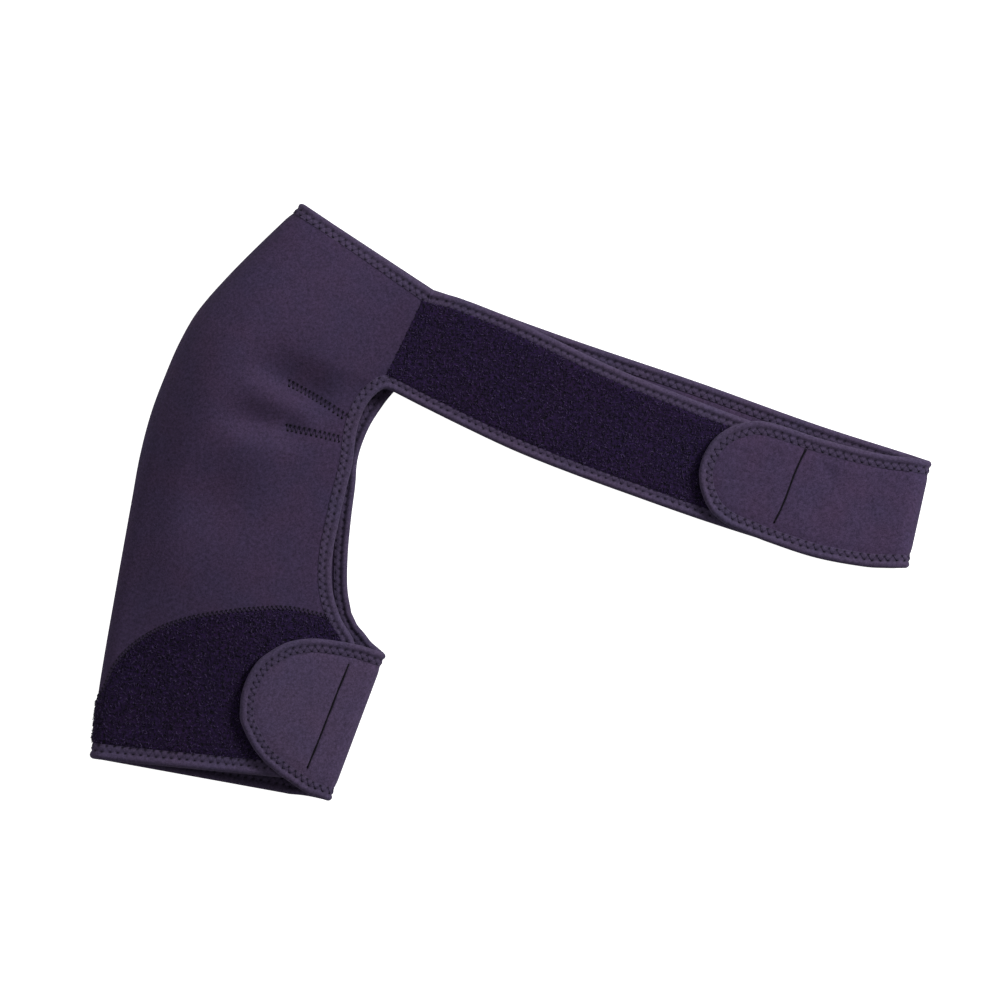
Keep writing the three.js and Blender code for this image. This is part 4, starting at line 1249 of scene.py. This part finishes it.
def groove_seam(name, line, height):
    """The stitched line at the bottom of a tab's groove, its thread all in the painted shade colour."""
    points = np.column_stack([line, height(line) + foam_thickness / 2 - 0.1])
    normals = np.broadcast_to([0.0, 0.0, 1.0], points.shape)
    # Painted shade: the whole thread takes the dark colour that stands for the groove's shade.
    seam = make_threads(name, points[None], normals[None], 0.8, 6, thread, 1)
    return seam


chest_groove_seam = groove_seam("chest_groove_seam", chest_groove_line, chest_tab_height)

# Arm strap: a short wide foam strap, sewn to the back panel beside the cuff. It turns up round
# the right side of the arm and comes back over the loop cloth as a rounded tab.
arm_strap_width = 102
arm_tab_length = 79.5
arm_hold_share = 1.6
arm_hold = edge_hold * arm_hold_share
arm_tab_droop = 4
arm_droop_run = 30
arm_joined = 0.34
arm_tab_edges = table(
    "at up_along up_across low_along low_across",
    (0, 0.12, 0.528, 0.11, -0.5),
    (0.2, 0.231, 0.521, 0.188, -0.5),
    (0.42, 0.426, 0.493, 0.387, -0.462),
    (0.6, 0.612, 0.453, 0.513, -0.433),
    (0.75, 0.781, 0.378, 0.638, -0.393),
    (0.86, 0.892, 0.281, 0.755, -0.335),
    (0.94, 0.969, 0.179, 0.847, -0.27),
    (0.98, 0.997, 0.049, 0.905, -0.223),
    (1, 0.989, -0.063, 0.938, -0.19),
)
arm_under_edges = table(
    "at up_along up_across low_along low_across",
    (0.34, 0.3, 0.64, 0.34, -0.554),
    (0.67, 0.224, 0.61, 0.233, -0.53),
    (1, 0.14, 0.568, 0.14, -0.515),
)
arm_tab = {
    "start": plan(0.218, -0.949),
    "way": unit(np.array([-0.936, 0.352])),
    "length": arm_tab_length,
    "width": arm_strap_width,
}
arm_fold = tab_plan(arm_tab, np.zeros(2), np.array([0.53, -0.5]))
arm_groove_line = groove_line(arm_tab, upper=(0.24, 0.392), lower=(0.26, -0.35), bow=0.002)
arm_shares = np.linspace(0, 1, 40)
arm_creases = (
    {"from": (0.8, 0.2), "to": (0.5, 0.3), "depth": 0.15, "wide": 5},
    {"from": (0.28, 0.3), "to": (0.3, -0.3), "depth": -0.25, "wide": 5},
)


def arm_tab_height(points):
    relief = tab_relief(points, arm_tab, arm_groove_line, groove_depth["arm"], arm_creases)
    droop = arm_tab_droop * smooth((points - arm_tab["start"]) @ arm_tab["way"], arm_droop_run, 0)
    return front_height(points, 0.9) + tab_offset - relief - droop


def arm_strap_rulings():
    seam_downs = np.array([arm_strap_top, 1])
    edge = back_edge(seam_downs)
    seam = edge + unit(edge - fold_line(seam_downs)) * seam_gap
    step = back_edge(np.array([arm_strap_top - 0.01, arm_strap_top]))
    seam[0] = edge[0] + unit(step[1] - step[0]) * 2 * seam_gap
    rest = tab_rulings(arm_tab, arm_under_edges, arm_shares)
    joined = mix(seam[None], rest[:1], np.clip(arm_shares / arm_joined, 0, 1)[:, None, None])
    return np.where((arm_shares < arm_joined)[:, None, None], joined, rest)


def arm_strap_rows(across):
    tab = tab_rulings(arm_tab, arm_tab_edges, tab_stops[::2])
    under = arm_strap_rulings()
    return turned_strap(under, arm_fold, tab, arm_tab_height, arm_hold, arm_strap_width, across)


arm_jersey = cloth_material(
    "arm strap jersey", jersey_knit,
    {"Colour": linear(64, 54, 80), "Warm Colour": linear(69, 55, 79), "Painted Shade Depth": 0.9},
    sheen=0.12,
)
arm_strap = make_turned_strap(
    "arm_strap_foam", arm_strap_rows, arm_groove_line, len(arm_shares) + turn_steps, arm_jersey,
)
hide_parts("arm_strap")
arm_tape, arm_zigzag = bind_edge(
    "arm_tape", *strap_frames(arm_strap_rows, arm_strap_width, arm_tab_height, len(arm_shares)),
    stitch=5.2, seed=15, reach_on=(1.6, 1.6),
)
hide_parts("arm_strap_binding")
arm_groove_seam = groove_seam("arm_groove_seam", arm_groove_line, arm_tab_height)

# Hook patches: stiff moulded tape sewn behind each tab. Its rows of small bent hooks face down
# and hold the loop cloth.
hooks_each_way = 28
plate_thickness = 0.7
hook_radius = 0.12
hook_bend = np.array([(0, 0, 0), (0, 0, -0.35), (0.15, 0, -0.6), (0.4, 0, -0.55)])
hook_tape = cloth_material(
    "hook tape", jersey_knit,
    {"Colour": linear(26, 21, 34), "Warm Colour": linear(30, 24, 36), "Wale Width": 1.2, "Mottle": 0.05},
    sheen=0.05,
)


def make_hooks(name, tab, height, along, across):
    """A hook patch behind a tab, between its shares along the tab and across it."""
    stops = [np.linspace(*ends, hooks_each_way + 2) for ends in (along, across)]
    place = tab_plan(tab, *np.meshgrid(*stops, indexing="ij"))
    drop = foam_thickness / 2 + clearance + hook_thickness / 2
    grid = np.concatenate([place, (height(place) - drop)[..., None]], axis=-1)
    plate = make_sheet(f"{name}_plate", grid, plate_thickness, hook_tape)
    paths = grid[1:-1, 1:-1].reshape(-1, 1, 3) - (0, 0, 0.3) + hook_bend
    leans = np.broadcast_to([0.0, 1.0, 0.0], paths.shape)
    hooks = make_threads(f"{name}_hooks", paths, leans, hook_radius, 4, hook_tape)
    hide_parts(f"{name}_patch")


make_hooks("chest_hook", chest_tab, chest_tab_height, (0.48, 0.78), (0.28, -0.38))
make_hooks("arm_hook", arm_tab, arm_tab_height, (0.3, 0.72), (0.2, -0.18))

# Studio: a pale floor, a broad soft light from the upper right with a weaker one from the upper
# left, and the camera straight above.
floor_reach = 30
floor_tone = 0.6
picture_width = 0.68
pixels_wide = 1000
neck_corner_pixel = (302, 205)
camera_distance = 6


def make_floor():
    mesh = bpy.data.meshes.new("floor")
    corners = [(-1, -1, 0), (1, -1, 0), (1, 1, 0), (-1, 1, 0)]
    places = [tuple(floor_reach * value for value in corner) for corner in corners]
    mesh.from_pydata(places, [], [(0, 1, 2, 3)])
    material = bpy.data.materials.new("studio paper")
    material.use_nodes = True
    tree = material.node_tree
    shader = tree.nodes["Principled BSDF"]
    shader.inputs["Base Color"].default_value = (floor_tone, floor_tone, floor_tone, 1)
    shader.inputs["Roughness"].default_value = 0.9
    shader.inputs["Specular IOR Level"].default_value = 0.1
    shader.inputs["Emission Color"].default_value = (1, 1, 1, 1)
    seen = add_node(tree, "ShaderNodeLightPath").outputs["Is Camera Ray"]
    tree.links.new(seen, shader.inputs["Emission Strength"])
    side = add_node(tree, "ShaderNodeNewGeometry").outputs["Backfacing"]
    clear = add_node(tree, "ShaderNodeBsdfTransparent").outputs[0]
    both = add_node(tree, "ShaderNodeMixShader", {0: side, 1: shader.outputs[0], 2: clear})
    tree.links.new(both.outputs[0], tree.nodes["Material Output"].inputs["Surface"])
    mesh.materials.append(material)
    floor = bpy.data.objects.new("floor", mesh)
    bpy.context.scene.collection.objects.link(floor)


def make_light(name, place, size, power):
    light = bpy.data.lights.new(name, "AREA")
    light.size = size
    light.energy = power
    lamp = bpy.data.objects.new(name, light)
    bpy.context.scene.collection.objects.link(lamp)
    lamp.location = place
    lamp.rotation_euler = (-lamp.location).to_track_quat("-Z", "Y").to_euler()
    lamp.visible_camera = False


make_floor()
make_light("key_light", (2.0, 1.3, 1.6), 0.9, 96)
make_light("fill_light", (-2.2, 1.7, 1.4), 1.4, 24)
world = bpy.data.worlds.new("studio")
bpy.context.scene.world = world
world.use_nodes = True
world.node_tree.nodes["Background"].inputs["Color"].default_value = (1, 1, 1, 1)
world.node_tree.nodes["Background"].inputs["Strength"].default_value = 0.28
bpy.context.scene.view_settings.view_transform = "Standard"

pixel = picture_width * metre / pixels_wide
from_corner = (pixels_wide / 2 - neck_corner_pixel[0], neck_corner_pixel[1] - pixels_wide / 2, 0)
picture_middle = (np.array(from_corner) * pixel + origin) / metre
camera_data = bpy.data.cameras.new("camera")
camera_data.sensor_width = 36
camera_data.lens = camera_data.sensor_width * camera_distance / picture_width
camera_data.clip_end = 60
camera = bpy.data.objects.new("camera", camera_data)
bpy.context.scene.collection.objects.link(camera)
camera.location = (picture_middle[0], picture_middle[1], camera_distance)
bpy.context.scene.camera = camera
